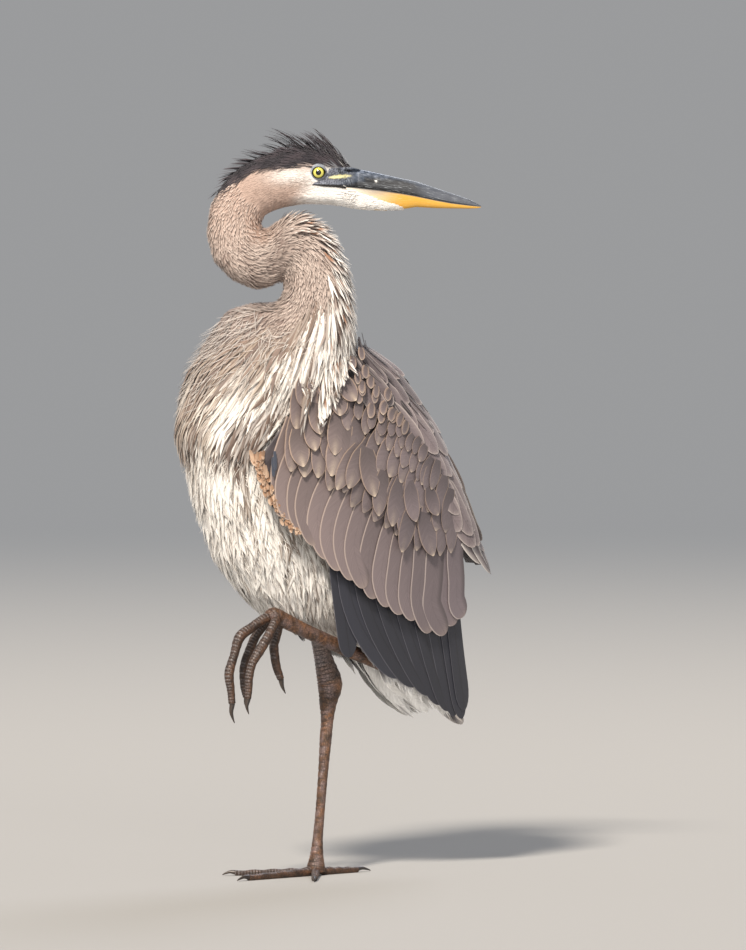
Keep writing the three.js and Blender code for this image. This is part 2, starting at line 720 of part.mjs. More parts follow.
// Legs
bird.add(part("right_thigh", solidOf(rodOf(THIGH_ROWS_RIGHT, THIGH_SIDES)), CREAM));
bird.add(part("right_tibia", solidOf(rodOf(TIBIA_ROWS_RIGHT, TARSUS_SIDES)), SCALE_BROWN, 0.6));
bird.add(part("right_tarsus", tarsusRight(), SCALE_BROWN, 0.6));
bird.add(standingFoot());
bird.add(part("left_thigh", solidOf(rodOf(THIGH_ROWS_LEFT, THIGH_SIDES)), CREAM));
const foldedTibia = solidOf(rodOf(TIBIA_ROWS_LEFT, TARSUS_SIDES));
const freedTibia = foldedTibia.subtract(grownRod(TARSUS_ROWS_LEFT, TARSUS_SIDES));
bird.add(part("left_tibia", mainBody(freedTibia), SCALE_BROWN, 0.6));
bird.add(part("left_tarsus", solidOf(rodOf(TARSUS_ROWS_LEFT, TARSUS_SIDES)), SCALE_BROWN, 0.6));
for (const [toe, rows] of Object.entries(LIFTED_TOES)) {
  bird.add(part("left_toe_" + toe, rodOf(rows, TOE_SIDES), SCALE_BROWN, 0.6));
  bird.add(part("left_claw_" + toe, rodOf(LIFTED_CLAWS[toe], CLAW_SIDES), HORN, 0.45));
}

export default bird;
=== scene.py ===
"""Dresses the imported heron: skin, plumage, bill, eyes, scaly legs, claws, and the stage."""
import math
from functools import cached_property

import bpy
import numpy as np
from bpy.props import FloatProperty, FloatVectorProperty, PointerProperty
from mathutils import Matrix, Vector
from mathutils.bvhtree import BVHTree


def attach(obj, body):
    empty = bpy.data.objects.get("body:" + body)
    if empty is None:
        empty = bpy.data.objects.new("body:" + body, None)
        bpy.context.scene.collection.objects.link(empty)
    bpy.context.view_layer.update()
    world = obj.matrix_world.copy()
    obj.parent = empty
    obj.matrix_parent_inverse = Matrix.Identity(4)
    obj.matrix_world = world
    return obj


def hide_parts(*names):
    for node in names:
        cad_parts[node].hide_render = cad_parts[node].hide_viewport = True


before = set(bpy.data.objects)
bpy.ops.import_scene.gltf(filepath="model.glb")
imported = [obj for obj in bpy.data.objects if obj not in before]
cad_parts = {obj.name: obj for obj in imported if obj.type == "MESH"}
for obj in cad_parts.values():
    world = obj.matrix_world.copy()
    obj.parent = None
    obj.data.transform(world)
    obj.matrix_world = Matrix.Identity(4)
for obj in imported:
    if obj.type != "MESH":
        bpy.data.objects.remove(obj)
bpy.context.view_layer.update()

bl_info = {
    "name": "Heron plumage",
    "version": (1, 0, 0),
    "blender": (4, 5, 0),
    "location": "3D View > Sidebar > Heron",
    "description": "Builds the skin, feathers, bill, eyes and legs of a standing heron",
    "category": "Add Mesh",
}

MM = 0.001


# ---- colour and small maths

def paint(code):
    """An sRGB hex value as linear red, green, blue and alpha."""
    parts = [int(code[i:i + 2], 16) / 255 for i in (0, 2, 4)]
    return [p / 12.92 if p <= 0.04045 else ((p + 0.055) / 1.055) ** 2.4 for p in parts] + [1.0]


def tint(code):
    """The same as an array of three, for vertex colours."""
    return np.array(paint(code)[:3])


def chosen(name):
    """A colour, or a size in mm, as the panel's fields give it."""
    value = getattr(bpy.context.scene.heron_plumage, name)
    return value / MM if isinstance(value, float) else np.array(value)


def ramp(low, high, value):
    """0 below low, 1 above high, and a smooth turn between them. High may be the lower number."""
    share = np.clip((np.asarray(value, float) - low) / (high - low), 0, 1)
    return share * share * (3 - 2 * share)


def bell(value, width):
    """1 where value is 0, falling smoothly to nothing past width on either side."""
    return np.exp(-(value / width) ** 2)


def mix(first, second, share):
    """Blends two colours, or arrays of them, by an array of shares."""
    share = np.asarray(share, float)[..., None]
    return np.asarray(first) * (1 - share) + np.asarray(second) * share


def unit(vectors):
    return vectors / np.maximum(np.linalg.norm(vectors, axis=-1, keepdims=True), 1e-12)


def between(rows, places):
    """Reads a table of rows at fractional row numbers, along a smooth curve through them."""
    rows = np.asarray(rows, float)
    places = np.clip(np.asarray(places, float), 0, len(rows) - 1)
    low = np.minimum(places.astype(int), len(rows) - 2)
    t = (places - low)[..., None]
    before = rows[np.maximum(low - 1, 0)]
    start = rows[low]
    end = rows[low + 1]
    after = rows[np.minimum(low + 2, len(rows) - 1)]
    return 0.5 * (2 * start + (end - before) * t + (2 * before - 5 * start + 4 * end - after) * t ** 2
                  + (3 * start - before - 3 * end + after) * t ** 3)


def speckle(points, size, seed=0):
    """Smooth noise from -1 to 1 at places in mm, with lumps about as big as size."""
    rng = np.random.default_rng(seed + 900)
    total = np.zeros(points.shape[:-1])
    for _ in range(7):
        way = unit(rng.normal(size=3)) * 2 * math.pi / size * rng.uniform(0.6, 1.5)
        total += np.sin(points @ way + rng.uniform(0, 6.28))
    return np.clip(total / 3.2, -1, 1)


# ---- the bird's own lines, in mm

TURN = math.radians(55)  # the neck and head turn this far from the bird's front
NECK_DEPTH = -52
NECK_SHIFT = np.array([-math.sin(TURN) * NECK_DEPTH, math.cos(TURN) * NECK_DEPTH, 0])

# Back X, back Z, throat X, throat Z, half width, along the head and neck, with X the bill's way.
HEAD_ROWS = [
    [34, 737, 34, 696, 10.5], [25, 746, 25, 695.5, 14], [10, 753, 10, 697, 17.5],
    [-11, 757, -11, 697.5, 20], [-34, 756, -31, 694.5, 21.5], [-58, 749, -44, 690, 22],
    [-79, 738, -50, 686.5, 22.5], [-97, 721, -53, 684, 23], [-110, 698, -54.5, 681, 24],
    [-114.5, 668, -55.5, 678, 25], [-107, 639, -55, 675.5, 26], [-87.5, 619, -53, 674, 26.5],
    [-62, 608.5, -50, 675.5, 27], [-42.5, 613, -43.5, 681, 27.5], [-35, 622, -29, 689.5, 28],
    [-32.5, 628, -10, 689, 28.5], [-31.5, 630, 9.5, 675, 29], [-32, 629, 23, 656, 29.5],
    [-32.8, 619.5, 33, 630, 31], [-38.5, 605, 38, 599, 35], [-53, 586, 40, 565, 42],
    [-78, 560, 36, 528, 52], [-112, 535, 24, 488, 60],
]
BILL_ROWS = [  # X, top Z, mouth Z, bottom Z, half width
    [34, 736.5, 716.5, 695.5, 10.5], [44, 735, 715.6, 694, 9.6], [67.6, 730.1, 712.9, 692.8, 7.8],
    [87.4, 725.6, 710.1, 693.8, 6.6], [103.7, 722.1, 707.2, 696.3, 5.8],
    [123.7, 715.5, 703, 695.2, 4.6], [140, 710, 700, 694.9, 3.5], [159, 703.5, 697.6, 694.7, 2.2],
    [169.5, 698.2, 696.6, 695.2, 0.7],
]
CAP_EDGE = [  # X, Z of the dark cap's lower edge, from the bill to the nape
    [36, 735.5], [14.6, 736.6], [-2, 739.8], [-16.6, 736.5], [-30, 737.5], [-53, 737.5],
    [-64, 732], [-79, 724], [-95, 715], [-112, 703],
]
EYE_X = 3.1
EYE_Z = 731.7
EYE_OUT = 10.6


def apart(points):
    """The x, y and z of an array of places of any shape."""
    return np.moveaxis(np.asarray(points, float), -1, 0)


def turned(ways):
    """Directions in the head's frame, in the bird's frame."""
    x, y, z = apart(ways)
    c, s = math.cos(TURN), math.sin(TURN)
    return np.stack([c * x - s * y, s * x + c * y, z], -1)


def from_head(points):
    """Places in the head's frame to the bird's frame, both in mm."""
    return turned(points) + NECK_SHIFT


def to_head(points):
    x, y, z = apart(np.asarray(points, float) - NECK_SHIFT)
    c, s = math.cos(TURN), math.sin(TURN)
    return np.stack([c * x + s * y, -s * x + c * y, z], -1)


# ---- nodes and meshes

def add(tree, kind, settings=None, **inputs):
    """Adds one shader node. Settings are its own fields, and inputs are values, sockets or nodes."""
    made = tree.nodes.new("ShaderNode" + kind)
    for field, value in (settings or {}).items():
        setattr(made, field, value)
    for name, value in inputs.items():
        socket = made.inputs[int(name[1:])] if name[0] == "_" else made.inputs[name.replace("_", " ")]
        if isinstance(value, bpy.types.Node):
            value = value.outputs[0]
        if isinstance(value, bpy.types.NodeSocket):
            tree.links.new(value, socket)
        else:
            socket.default_value = value
    return made


def blank_material(name):
    made = bpy.data.materials.new(name)
    made.use_nodes = True
    made.node_tree.nodes.clear()
    return made


def mesh_of(name, points, faces, colours=None, maps=None, smooth=True):
    """A mesh object from places in mm, rows of corner numbers, vertex colours and corner maps.

    A row that repeats a corner is a triangle.
    """
    mesh = bpy.data.meshes.new(name)
    points = np.asarray(points, np.float32).reshape(-1, 3) * MM
    faces = np.asarray(faces, np.int32)
    mesh.vertices.add(len(points))
    mesh.vertices.foreach_set("co", points.ravel())
    real = faces != np.roll(faces, 1, axis=1)
    corners = faces[real]
    mesh.loops.add(len(corners))
    mesh.loops.foreach_set("vertex_index", corners)
    mesh.polygons.add(len(faces))
    starts = np.cumsum(real.sum(1)) - real.sum(1)
    mesh.polygons.foreach_set("loop_start", starts.astype(np.int32))
    mesh.update(calc_edges=True)
    mesh.polygons.foreach_set("use_smooth", np.full(len(faces), smooth))
    if colours is not None:
        add_colours(mesh, colours)
    for title, places in (maps or {}).items():
        layer = mesh.uv_layers.new(name=title)
        places = np.asarray(places, np.float32).reshape(-1, 2)[corners]
        layer.data.foreach_set("uv", places.ravel())
    made = bpy.data.objects.new(name, mesh)
    bpy.context.scene.collection.objects.link(made)
    return made


def add_colours(mesh, colours):
    layer = mesh.color_attributes.new("Markings", "FLOAT_COLOR", "POINT")
    whole = np.ones((len(mesh.vertices), 4), np.float32)
    whole[:, :3] = np.clip(colours, 0, 1).reshape(-1, 3)
    layer.data.foreach_set("color", whole.ravel())


def read(holder, field, kind=np.float32, width=1):
    """One field of every vertex, corner or face of a mesh, as an array."""
    values = np.empty(len(holder) * width, kind)
    holder.foreach_get(field, values)
    return values.reshape(-1, width) if width > 1 else values


def places_of(made):
    return read(made.data.vertices, "co", width=3).astype(float) / MM


def normals_of(made):
    return read(made.data.vertices, "normal", width=3).astype(float)


def settle(made, *modifiers):
    """Adds modifiers given as (kind, settings), and keeps their result as the mesh."""
    for kind, settings in modifiers:
        modifier = made.modifiers.new(kind, kind)
        for field, value in settings.items():
            setattr(modifier, field, value)
    bpy.context.view_layer.update()
    graph = bpy.context.evaluated_depsgraph_get()
    fresh = bpy.data.meshes.new_from_object(made.evaluated_get(graph))
    made.modifiers.clear()
    old = made.data
    made.data = fresh
    bpy.data.meshes.remove(old)
    return made


def finished(made, finish, nodes=()):
    """Gives a piece its material, its body and the nodes it stands for."""
    made.data.materials.clear()
    made.data.materials.append(material(finish))
    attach(made, "root")
    if nodes:
        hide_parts(*nodes)


def grid_faces(rows, columns, closed=False):
    """Corner numbers of the quads of a grid of points, with the columns joined round if closed."""
    r, c = np.meshgrid(np.arange(rows - 1), np.arange(columns if closed else columns - 1), indexing="ij")
    n = (c + 1) % columns
    return np.stack([r * columns + c, r * columns + n, (r + 1) * columns + n, (r + 1) * columns + c],
                    -1).reshape(-1, 4)


# ---- how the coat lies

def neck_tracks():
    """Places, ways, outward directions and row numbers along the back, middle and throat."""
    places = np.linspace(0, len(HEAD_ROWS) - 1, 150)
    rows = between(HEAD_ROWS, places)
    back, throat = rows[:, 0:2], rows[:, 2:4]
    middle = (back + throat) / 2
    flow = np.gradient(middle, axis=0)
    lines = [back, middle, throat]
    ways = [unit(np.gradient(line, axis=0) + 0.6 * flow) for line in lines]
    outward = [unit(back - middle), 0 * middle, unit(throat - middle)]
    return (np.concatenate(lines), np.concatenate(ways), np.concatenate(outward),
            np.tile(places, 3))


NECK_PLACES, NECK_WAYS, NECK_OUT, NECK_ROWS = neck_tracks()


def along_neck(points, normals):
    """Where places lie on the neck: row number, -1 throat to 1 back, nearness, and the way down it.

    The skin's normal tells the two sides of a fold apart where the neck doubles back.
    """
    q = to_head(points)
    facing = to_head(normals + NECK_SHIFT)[:, ::2]
    row = np.empty(len(q))
    way = np.empty((len(q), 2))
    for start in range(0, len(q), 4000):
        part = slice(start, start + 4000)
        gap = ((q[part, None, ::2] - NECK_PLACES[None]) ** 2).sum(-1)
        agree = np.clip(0.6 + 1.2 * facing[part] @ NECK_OUT.T, 0.02, 1)
        weight = (agree / (gap + 30)) ** 2
        weight /= weight.sum(1, keepdims=True)
        row[part] = weight @ NECK_ROWS
        way[part] = weight @ NECK_WAYS
    here = between(HEAD_ROWS, row)
    back, throat, half = here[:, 0:2], here[:, 2:4], here[:, 4]
    across = back - throat
    size = np.linalg.norm(across, axis=1)
    flat = q[:, ::2] - (back + throat) / 2
    side = 2 * (flat * across).sum(1) / np.maximum(size, 1) ** 2
    spread = np.sqrt((flat ** 2).sum(1) / (size / 2) ** 2 + (q[:, 1] / half) ** 2)
    near = (1 - ramp(1.2, 1.65, spread)) * (1 - ramp(19.3, 21.5, row))
    ways = turned(np.stack([way[:, 0], np.zeros(len(q)), way[:, 1]], -1))
    return row, side, near, ways


FAN_TOP = from_head([[22, 0, 650]])[0]  # the breast plumes spread from here


def lie(points, normals):
    """The way that feathers point at places on the body, in mm."""
    p = np.asarray(points, float)
    _, _, near, neck_way = along_neck(p, normals)
    fan = unit(p - FAN_TOP)
    down = unit(np.stack([0.1 * np.sign(p[:, 0]), 0.22 + 0 * p[:, 0], -1 + 0 * p[:, 0]], -1))
    back = unit(np.array([0, 0.45, -0.9]))
    share = ramp(380, 480, p[:, 2])[:, None]
    way = unit(fan * share + down * (1 - share))
    behind = ramp(30, 90, p[:, 1])[:, None]
    way = unit(way * (1 - behind) + back * behind)
    return unit(neck_way * near[:, None] + way * (1 - near[:, None]))


def fan_angle(points):
    """Degrees below level, seen from the top of the breast's fan: low on the far shoulder side."""
    q = to_head(points)
    return np.degrees(np.arctan2(612 - q[:, 2], 26 - q[:, 0]))


# ---- the colours of the plumage

CAP_BROWN = tint("4d4349")
CHEEK_BUFF = tint("bda497")
NECK_PALE = tint("dccdc3")
THROAT_RUST = tint("a47a60")
PLUME_DARK = tint("4f4039")
CREAM = tint("eadfce")
BELLY_BROWN = tint("6f5a49")
FLANK = tint("8d7767")
THIGH_BUFF = tint("c79a72")
BACK_GREY = tint("7b7174")
VENT_WHITE = tint("fbfaf8")
LORE_SLATE = tint("7d8190")
LORE_DEEP = tint("4b5260")
LORE_DARK = tint("22242a")
LORE_YELLOW = tint("f0eab0")
LID_BLUE = tint("bac5cf")


def cap_height(x):
    edge = np.array(CAP_EDGE[::-1])
    return np.interp(x, edge[:, 0], edge[:, 1])


def bare_face(q):
    """1 on the bare skin between the eye and the bill, 0 on feathers, at places in the head's frame."""
    x, y, z = apart(q)
    ragged = speckle(q, 3.2, 12)
    top = np.interp(x, [4, 10, 20, 36], [735, 736.5, 736.8, 738.0]) + 0.6 * ragged
    low = np.interp(x, [-6, 4, 14, 36], [718.5, 718, 717, 716])
    ahead = ramp(-2, 2, x + 3 - (z - 718.5) * 1.1 + 1.5 * ragged)
    within = (1 - ramp(-1.5, 1.5, z - top)) * ramp(-1, 1, z - low)
    ring = 1 - ramp(7.2, 8.6, np.hypot(x - EYE_X, z - EYE_Z) + ragged)
    return np.maximum(ahead * within, ring) * ramp(4, 7, np.abs(y))


def lore_colour(q):
    """Blue-grey bare skin, mottled darker, with a broken pale yellow bar and a dark line at the mouth."""
    x, _, z = apart(q)
    fine, wide = speckle(q, 2.6, 13), speckle(q, 6.5, 15)
    slate = mix(LORE_SLATE, LORE_DEEP, ramp(12, 34, x + 3 * wide))
    slate = mix(slate, LORE_DARK, np.clip(0.36 + 0.7 * fine + 0.3 * wide, 0, 0.92))
    slate = mix(slate, LID_BLUE, np.clip(0.55 * speckle(q, 2.2, 16) - 0.15, 0, 0.6))
    deep = np.interp(x, [4, 24, 40, 52], [0.8, 1.8, 4.5, 8.0]) * (1 + 0.5 * fine)
    mouth = np.interp(x, [-3, 12, 25, 37, 50], [718.6, 718.0, 717.6, 716.6, 715.2])
    slate = mix(slate, LORE_DARK, ramp(deep + 1.0, deep - 0.8, z - mouth) * 0.92)
    middle = np.interp(x, [14, 37], [726.6, 728.2])
    thick = np.interp(x, [13, 19, 31, 38], [0.5, 1.7, 1.6, 0.5]) * (1 + 0.35 * wide)
    bar = np.exp(-((z - middle) / thick) ** 4) * ramp(12, 15, x) * ramp(39, 35, x)
    return mix(slate, LORE_YELLOW, bar * np.clip(0.85 + 0.35 * fine, 0, 1))


def markings(at):
    """The ground colour of skin and coat at spots on the body."""
    p, q, row, side = at.p, at.q, at.row, at.side
    mottle, fine = speckle(p, 26, 1), speckle(p, 9, 2)

    above = ramp(-1.5, 1.5, q[:, 2] - cap_height(q[:, 0]) + 0.8 * fine)
    cap = mix(chosen("cap"), CAP_BROWN, ramp(-0.2, 1, speckle(p, 14, 3)) * 0.6)
    chin = ramp(-26, 4, q[:, 0] + (707 - q[:, 2]) * 0.5)
    behind_eye = bell(q[:, 0] + 20, 22) * bell(q[:, 2] - 729, 8)
    cheek = mix(CHEEK_BUFF, chosen("cheek"), np.clip(chin + behind_eye * 0.9, 0, 1))
    head = mix(mix(cheek, cap, above), lore_colour(q), bare_face(q))

    fawn = mix(chosen("neck"), NECK_PALE, 0.3 + 0.18 * mottle)
    fawn = mix(fawn, CHEEK_BUFF, ramp(11.5, 7.5, row) * 0.6)
    rust = ramp(-0.25, -0.8, side) * ramp(6.2, 7.6, row) * ramp(13, 10.5, row)
    fawn = mix(fawn, THROAT_RUST, rust * 0.4)
    fawn = mix(fawn, chosen("plume"), ramp(-0.35, -0.75, side) * ramp(15.5, 17, row) * 0.5)
    neck = mix(head, fawn, ramp(6.4, 8.4, row + 0.3 * fine))

    # Cream where the plumes hang, plain taupe on the shoulder side of the breast.
    streaked = ramp(32, 52, fan_angle(p) + 7 * mottle) * ramp(60, 10, p[:, 1])
    breast = mix(chosen("breast"), CREAM, 0.04 + 0.3 * streaked + 0.08 * fine)
    clumps = speckle(p * [1, 1, 0.2], 15, 6)
    belly = mix(BELLY_BROWN, chosen("belly"), np.clip(0.62 + 0.5 * clumps, 0, 1))
    flank = ramp(-35, 25, p[:, 1] + 12 * mottle) * ramp(-10, 25, np.abs(p[:, 0]))
    belly = mix(belly, FLANK, flank * 0.75)
    trunk = mix(belly, breast, ramp(425, 455, p[:, 2] + 10 * mottle))
    trunk = mix(trunk, BACK_GREY, ramp(40, 85, p[:, 1] - 0.2 * (p[:, 2] - 400)))
    trunk = mix(trunk, VENT_WHITE, ramp(262, 235, p[:, 2]) * ramp(50, 75, p[:, 1]))
    trunk = mix(trunk, THIGH_BUFF, ramp(285, 262, p[:, 2]) * ramp(75, 62, p[:, 1]) * 0.35)
    return mix(trunk, neck, at.near)


# ---- the skin

FLESH = ["trunk", "breast_plumes", "left_thigh", "right_thigh", "neck_top", "neck_bend",
         "neck_kink", "neck_lower", "head"]


def coat_depth(points, normals):
    """How deep the skin lies under the plumage's outline, in mm."""
    row, _, near, _ = along_neck(points, normals)
    neck = np.interp(row, [0, 5, 9, 15, 20], [1.0, 1.8, 3.0, 3.5, 6])
    body = np.interp(points[:, 2], [200, 250, 300, 420, 470, 560], [2.5, 3.5, 7, 8, 8, 6])
    return neck * near + body * (1 - near)


def cheek_fill(points):
    """Fuller lower cheeks, in mm outwards, where down stands off the jaw."""
    x, y, z = apart(to_head(points))
    full = (bell(z - 704, 6.5) * ramp(-30, -8, x) * ramp(37, 24, x) * ramp(2, 9, np.abs(y))
            * ramp(690, 694, z))
    return turned(np.stack([0 * full, np.sign(y), 0 * full], -1)) * (3.4 * full)[:, None]


def build_skin():
    """One closed skin over trunk, thighs, neck and head, drawn in by the depth of the coat."""
    corners, faces = [], []
    for name in FLESH:
        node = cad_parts[name]
        start = sum(len(c) for c in corners)
        corners.append(places_of(node))
        faces += [[v + start for v in polygon.vertices] for polygon in node.data.polygons]
    mesh = bpy.data.meshes.new("skin")
    mesh.from_pydata((np.concatenate(corners) * MM).tolist(), [], faces)
    skin = bpy.data.objects.new("skin", mesh)
    bpy.context.scene.collection.objects.link(skin)
    settle(skin, ("REMESH", {"mode": "VOXEL", "voxel_size": 2.4 * MM}),
           ("SMOOTH", {"factor": 0.6, "iterations": 10}))
    points, normals = places_of(skin), normals_of(skin)
    points -= normals * coat_depth(points, normals)[:, None]
    points += cheek_fill(points)
    skin.data.vertices.foreach_set("co", (points * MM).astype(np.float32).ravel())
    skin.data.update()
    settle(skin, ("SMOOTH", {"factor": 0.5, "iterations": 8}))
    for polygon in skin.data.polygons:
        polygon.use_smooth = True
    return skin


def unwrap(made):
    """Unwraps a mesh by its own shape, as the bake map named OFBake."""
    made.data.uv_layers.new(name="OFBake")
    bpy.context.view_layer.objects.active = made
    for other in bpy.context.selected_objects:
        other.select_set(False)
    made.select_set(True)
    bpy.ops.object.mode_set(mode="EDIT")
    bpy.ops.mesh.select_all(action="SELECT")
    bpy.ops.uv.smart_project(angle_limit=math.radians(66), island_margin=0.002)
    bpy.ops.object.mode_set(mode="OBJECT")


CELLS = 4001  # more than lie along any side of the bird, so that each has a number of its own


class Ground:
    """A surface as the feathers need it: nearest places, normals and unwrapped places."""

    def __init__(self, points, normals, triangles, unwrapped):
        self.points, self.normals = points, normals
        self.triangles, self.unwrapped = triangles, unwrapped
        self.tree = BVHTree.FromPolygons(points.tolist(), triangles.tolist())

    def nearest(self, places):
        """The nearest places on the surface, the normals there, and the triangles' numbers."""
        found = [self.tree.find_nearest(Vector(p)) for p in places]
        where = np.array([f[0] for f in found])
        number = np.array([f[2] for f in found])
        return where, self.soft_normals(where, number), number

    def soft_normals(self, where, number):
        """Normals blended over the triangle, so that long feathers lie in one sweep."""
        a, b, c = (self.points[self.triangles[number, i]] for i in range(3))
        gaps = np.stack([np.linalg.norm(where - v, axis=1) for v in (a, b, c)], -1)
        weight = 1 / (gaps + 0.05)
        weight /= weight.sum(1, keepdims=True)
        mixed = sum(self.normals[self.triangles[number, i]] * weight[:, i:i + 1] for i in range(3))
        return unit(mixed)

    def plant(self, spacing, wanted, seed):
        """Evenly scattered spots where wanted(spots) says a number near 1, and their triangles."""
        rng = np.random.default_rng(seed)
        a, b, c = (self.points[self.triangles[:, i]] for i in range(3))
        middle = (a + b + c) / 3
        facing = self.normals[self.triangles[:, 0]]
        keep = np.nonzero(wanted(Spots(middle, facing)) > 0.02)[0]
        area = np.linalg.norm(np.cross(b[keep] - a[keep], c[keep] - a[keep]), axis=1) / 2
        count = int(area.sum() / spacing ** 2 * 3.2)
        number = keep[rng.choice(len(keep), count, p=area / area.sum())]
        s, t = rng.random((2, count, 1))
        over = (s + t) > 1
        s, t = np.where(over, 1 - s, s), np.where(over, 1 - t, t)
        where = a[number] + (b[number] - a[number]) * s + (c[number] - a[number]) * t
        kept = rng.random(count) < wanted(Spots(where, facing[number]))
        where, number = where[kept], number[kept]
        cells = np.floor(where / spacing + rng.random(3)).astype(np.int64)
        key = (cells[:, 0] * CELLS + cells[:, 1]) * CELLS + cells[:, 2]
        first = np.unique(key, return_index=True)[1]
        where, number = where[first], number[first]
        return Spots(where, self.soft_normals(where, number)), number


def ground_of(made):
    """The surface of a mesh that has been unwrapped."""
    mesh = made.data
    corners = read(mesh.loops, "vertex_index", np.int32)
    starts = read(mesh.polygons, "loop_start", np.int32)
    last = starts + np.minimum(3, read(mesh.polygons, "loop_total", np.int32) - 1)
    triangles = np.concatenate([
        np.stack([corners[starts], corners[starts + 1], corners[starts + 2]], -1),
        np.stack([corners[starts], corners[starts + 2], corners[last]], -1)])
    flat = read(mesh.uv_layers["OFBake"].data, "uv", width=2)
    centre = (flat[starts] + flat[starts + 1] + flat[starts + 2]) / 3
    return Ground(places_of(made), normals_of(made), triangles, np.concatenate([centre, centre]))


def run_over(surface, where, normal, length, rise, pieces, stray=0.0, seed=0):
    """Centre lines that run over a surface from their roots, rising off it as rise(share) in mm."""
    rng = np.random.default_rng(seed)
    here, up = where.copy(), normal.copy()
    turn = rng.normal(0, stray, len(where))
    lines, ups = [here + up * rise(0.0)[:, None]], [up]
    for step in range(1, pieces + 1):
        flow = lie(here, up)
        flow = unit(flow - up * (flow * up).sum(1, keepdims=True))
        side = np.cross(up, flow)
        flow = flow * np.cos(turn)[:, None] + side * np.sin(turn)[:, None]
        here, up_there, _ = surface.nearest(here + flow * (length / pieces)[:, None])
        up = unit(up * 0.35 + up_there * 0.65)
        lines.append(here + up * rise(step / pieces)[:, None])
        ups.append(up)
    return np.stack(lines, 1), np.stack(ups, 1)


PATCH = 0.003  # share of the bake map's width that a small feather's own patch takes


def vanes(lines, ups, half, profile, across, colours, seed=0, camber=0.25, roll=0.0, ragged=0.0,
          unwrapped=None, cell=None):
    """Feather blades: centre lines (n, rows, 3), their normals, half widths in mm, and colours.

    The profile gives each row's share of the half width, and across the columns from -1 to 1.
    """
    rng = np.random.default_rng(seed)
    n, rows, _ = lines.shape
    across = np.asarray(across, float)
    columns = len(across)
    flow = unit(np.gradient(lines, axis=1))
    side = unit(np.cross(ups, flow))
    up = unit(np.cross(flow, side))
    roll = np.broadcast_to(np.asarray(roll, float), (n,))[:, None, None]
    side, up = side * np.cos(roll) + up * np.sin(roll), up * np.cos(roll) - side * np.sin(roll)
    reach = np.broadcast_to(half, (n,))[:, None] * np.broadcast_to(profile, (n, rows))
    out = reach[:, :, None] * across[None, None, :]
    drop = -camber * reach[:, :, None] * (across ** 2)[None, None, :]
    points = (lines[:, :, None, :] + side[:, :, None, :] * out[..., None]
              + up[:, :, None, :] * drop[..., None])
    if ragged:
        late = np.linspace(0, 1, rows) ** 3
        slip = (rng.random((n, 1, columns)) - 0.6) * late[None, :, None]
        step = np.linalg.norm(lines[:, -1] - lines[:, 0], axis=1)[:, None, None] * ragged
        points = points + flow[:, :, None, :] * (slip * step)[..., None]
    faces = grid_faces(rows, columns)
    whole = (faces[None] + (np.arange(n) * rows * columns)[:, None, None]).reshape(-1, 4)
    u = np.broadcast_to((across + 1) / 2, (n, rows, columns))
    v = np.broadcast_to(np.linspace(0, 1, rows)[:, None], (n, rows, columns))
    vane = np.stack([u, v], -1)
    if cell is None:
        bake = unwrapped[:, None, None, :] + (vane - 0.5) * PATCH
    else:
        bake = cell[:, None, None, :2] + vane * cell[:, None, None, 2:]
    return {
        "points": points.reshape(-1, 3),
        "faces": whole,
        "colours": np.broadcast_to(colours, (n, rows, columns, 3)).reshape(-1, 3),
        "Vane": vane.reshape(-1, 2),
        "OFBake": bake.reshape(-1, 2),
    }


def cells_for(count, shape=4.0):
    """A place of its own on the bake map for each of the large feathers, shape times as tall as wide."""
    wide = max(1, math.ceil(math.sqrt(count * shape)))
    tall = math.ceil(count / wide)
    number = np.arange(count)
    size = np.array([1 / wide, 1 / tall])
    low = np.stack([number % wide, number // wide], -1) * size
    return np.concatenate([low + size * 0.04, np.broadcast_to(size * 0.92, (count, 2))], 1)


def coloured(n, rows, across, base, streak=None, streak_width=0.3, streak_from=0.0,
             streak_to=1.0, edge=None, edge_from=0.6, tip=None, tip_from=0.75, root=None, root_to=0.3,
             shaft=None, shaft_width=0.1):
    """Colours of blades, from a base colour and its shaft streak, edges, root and tip.

    Each of the others is (colours, shares), with one colour or share for all or one for each. A
    number for its colour darkens the base.
    """
    u = np.abs(np.asarray(across, float))[None, None, :]
    v = np.linspace(0, 1, rows)[None, :, None]
    whole = np.broadcast_to(np.asarray(base, float).reshape(-1, 1, 1, 3), (n, rows, len(across), 3))
    parts = [
        (root, 1 - ramp(0, root_to, v) + 0 * u),
        (streak, bell(u, streak_width) * ramp(streak_from - 0.1, streak_from + 0.05, v)
         * (1 - ramp(streak_to - 0.05, streak_to + 0.1, v))),
        (edge, ramp(edge_from, 1, u) + 0 * v),
        (tip, ramp(tip_from, 1, v) + 0 * u),
        (shaft, bell(u, shaft_width) + 0 * v),
    ]
    for part, share in parts:
        if part is not None:
            colour, amount = part
            colour = np.asarray(base * colour if isinstance(colour, float) else colour, float)
            colour = colour.reshape(-1, 1, 1, 3)
            amount = np.asarray(amount, float).reshape(-1, 1, 1)
            whole = mix(whole, np.broadcast_to(colour, whole.shape), share * amount)
    return whole


def together(parts):
    """Joins several sets of blades."""
    whole = {key: np.concatenate([p[key] for p in parts])
             for key in ("points", "colours", "Vane", "OFBake")}
    counts = np.cumsum([0] + [len(p["points"]) for p in parts[:-1]])
    whole["faces"] = np.concatenate([p["faces"] + n for p, n in zip(parts, counts)])
    return whole


def coat_piece(name, parts, finish, nodes=()):
    """One joined mesh of blades."""
    whole = together(parts) if isinstance(parts, list) else parts
    made = mesh_of(name, whole["points"], whole["faces"], whole["colours"],
                   {"OFBake": whole["OFBake"], "Vane": whole["Vane"]})
    print(name, len(whole["faces"]) * 2, "triangles")
    finished(made, finish, nodes)


# ---- the wing's surface, in mm

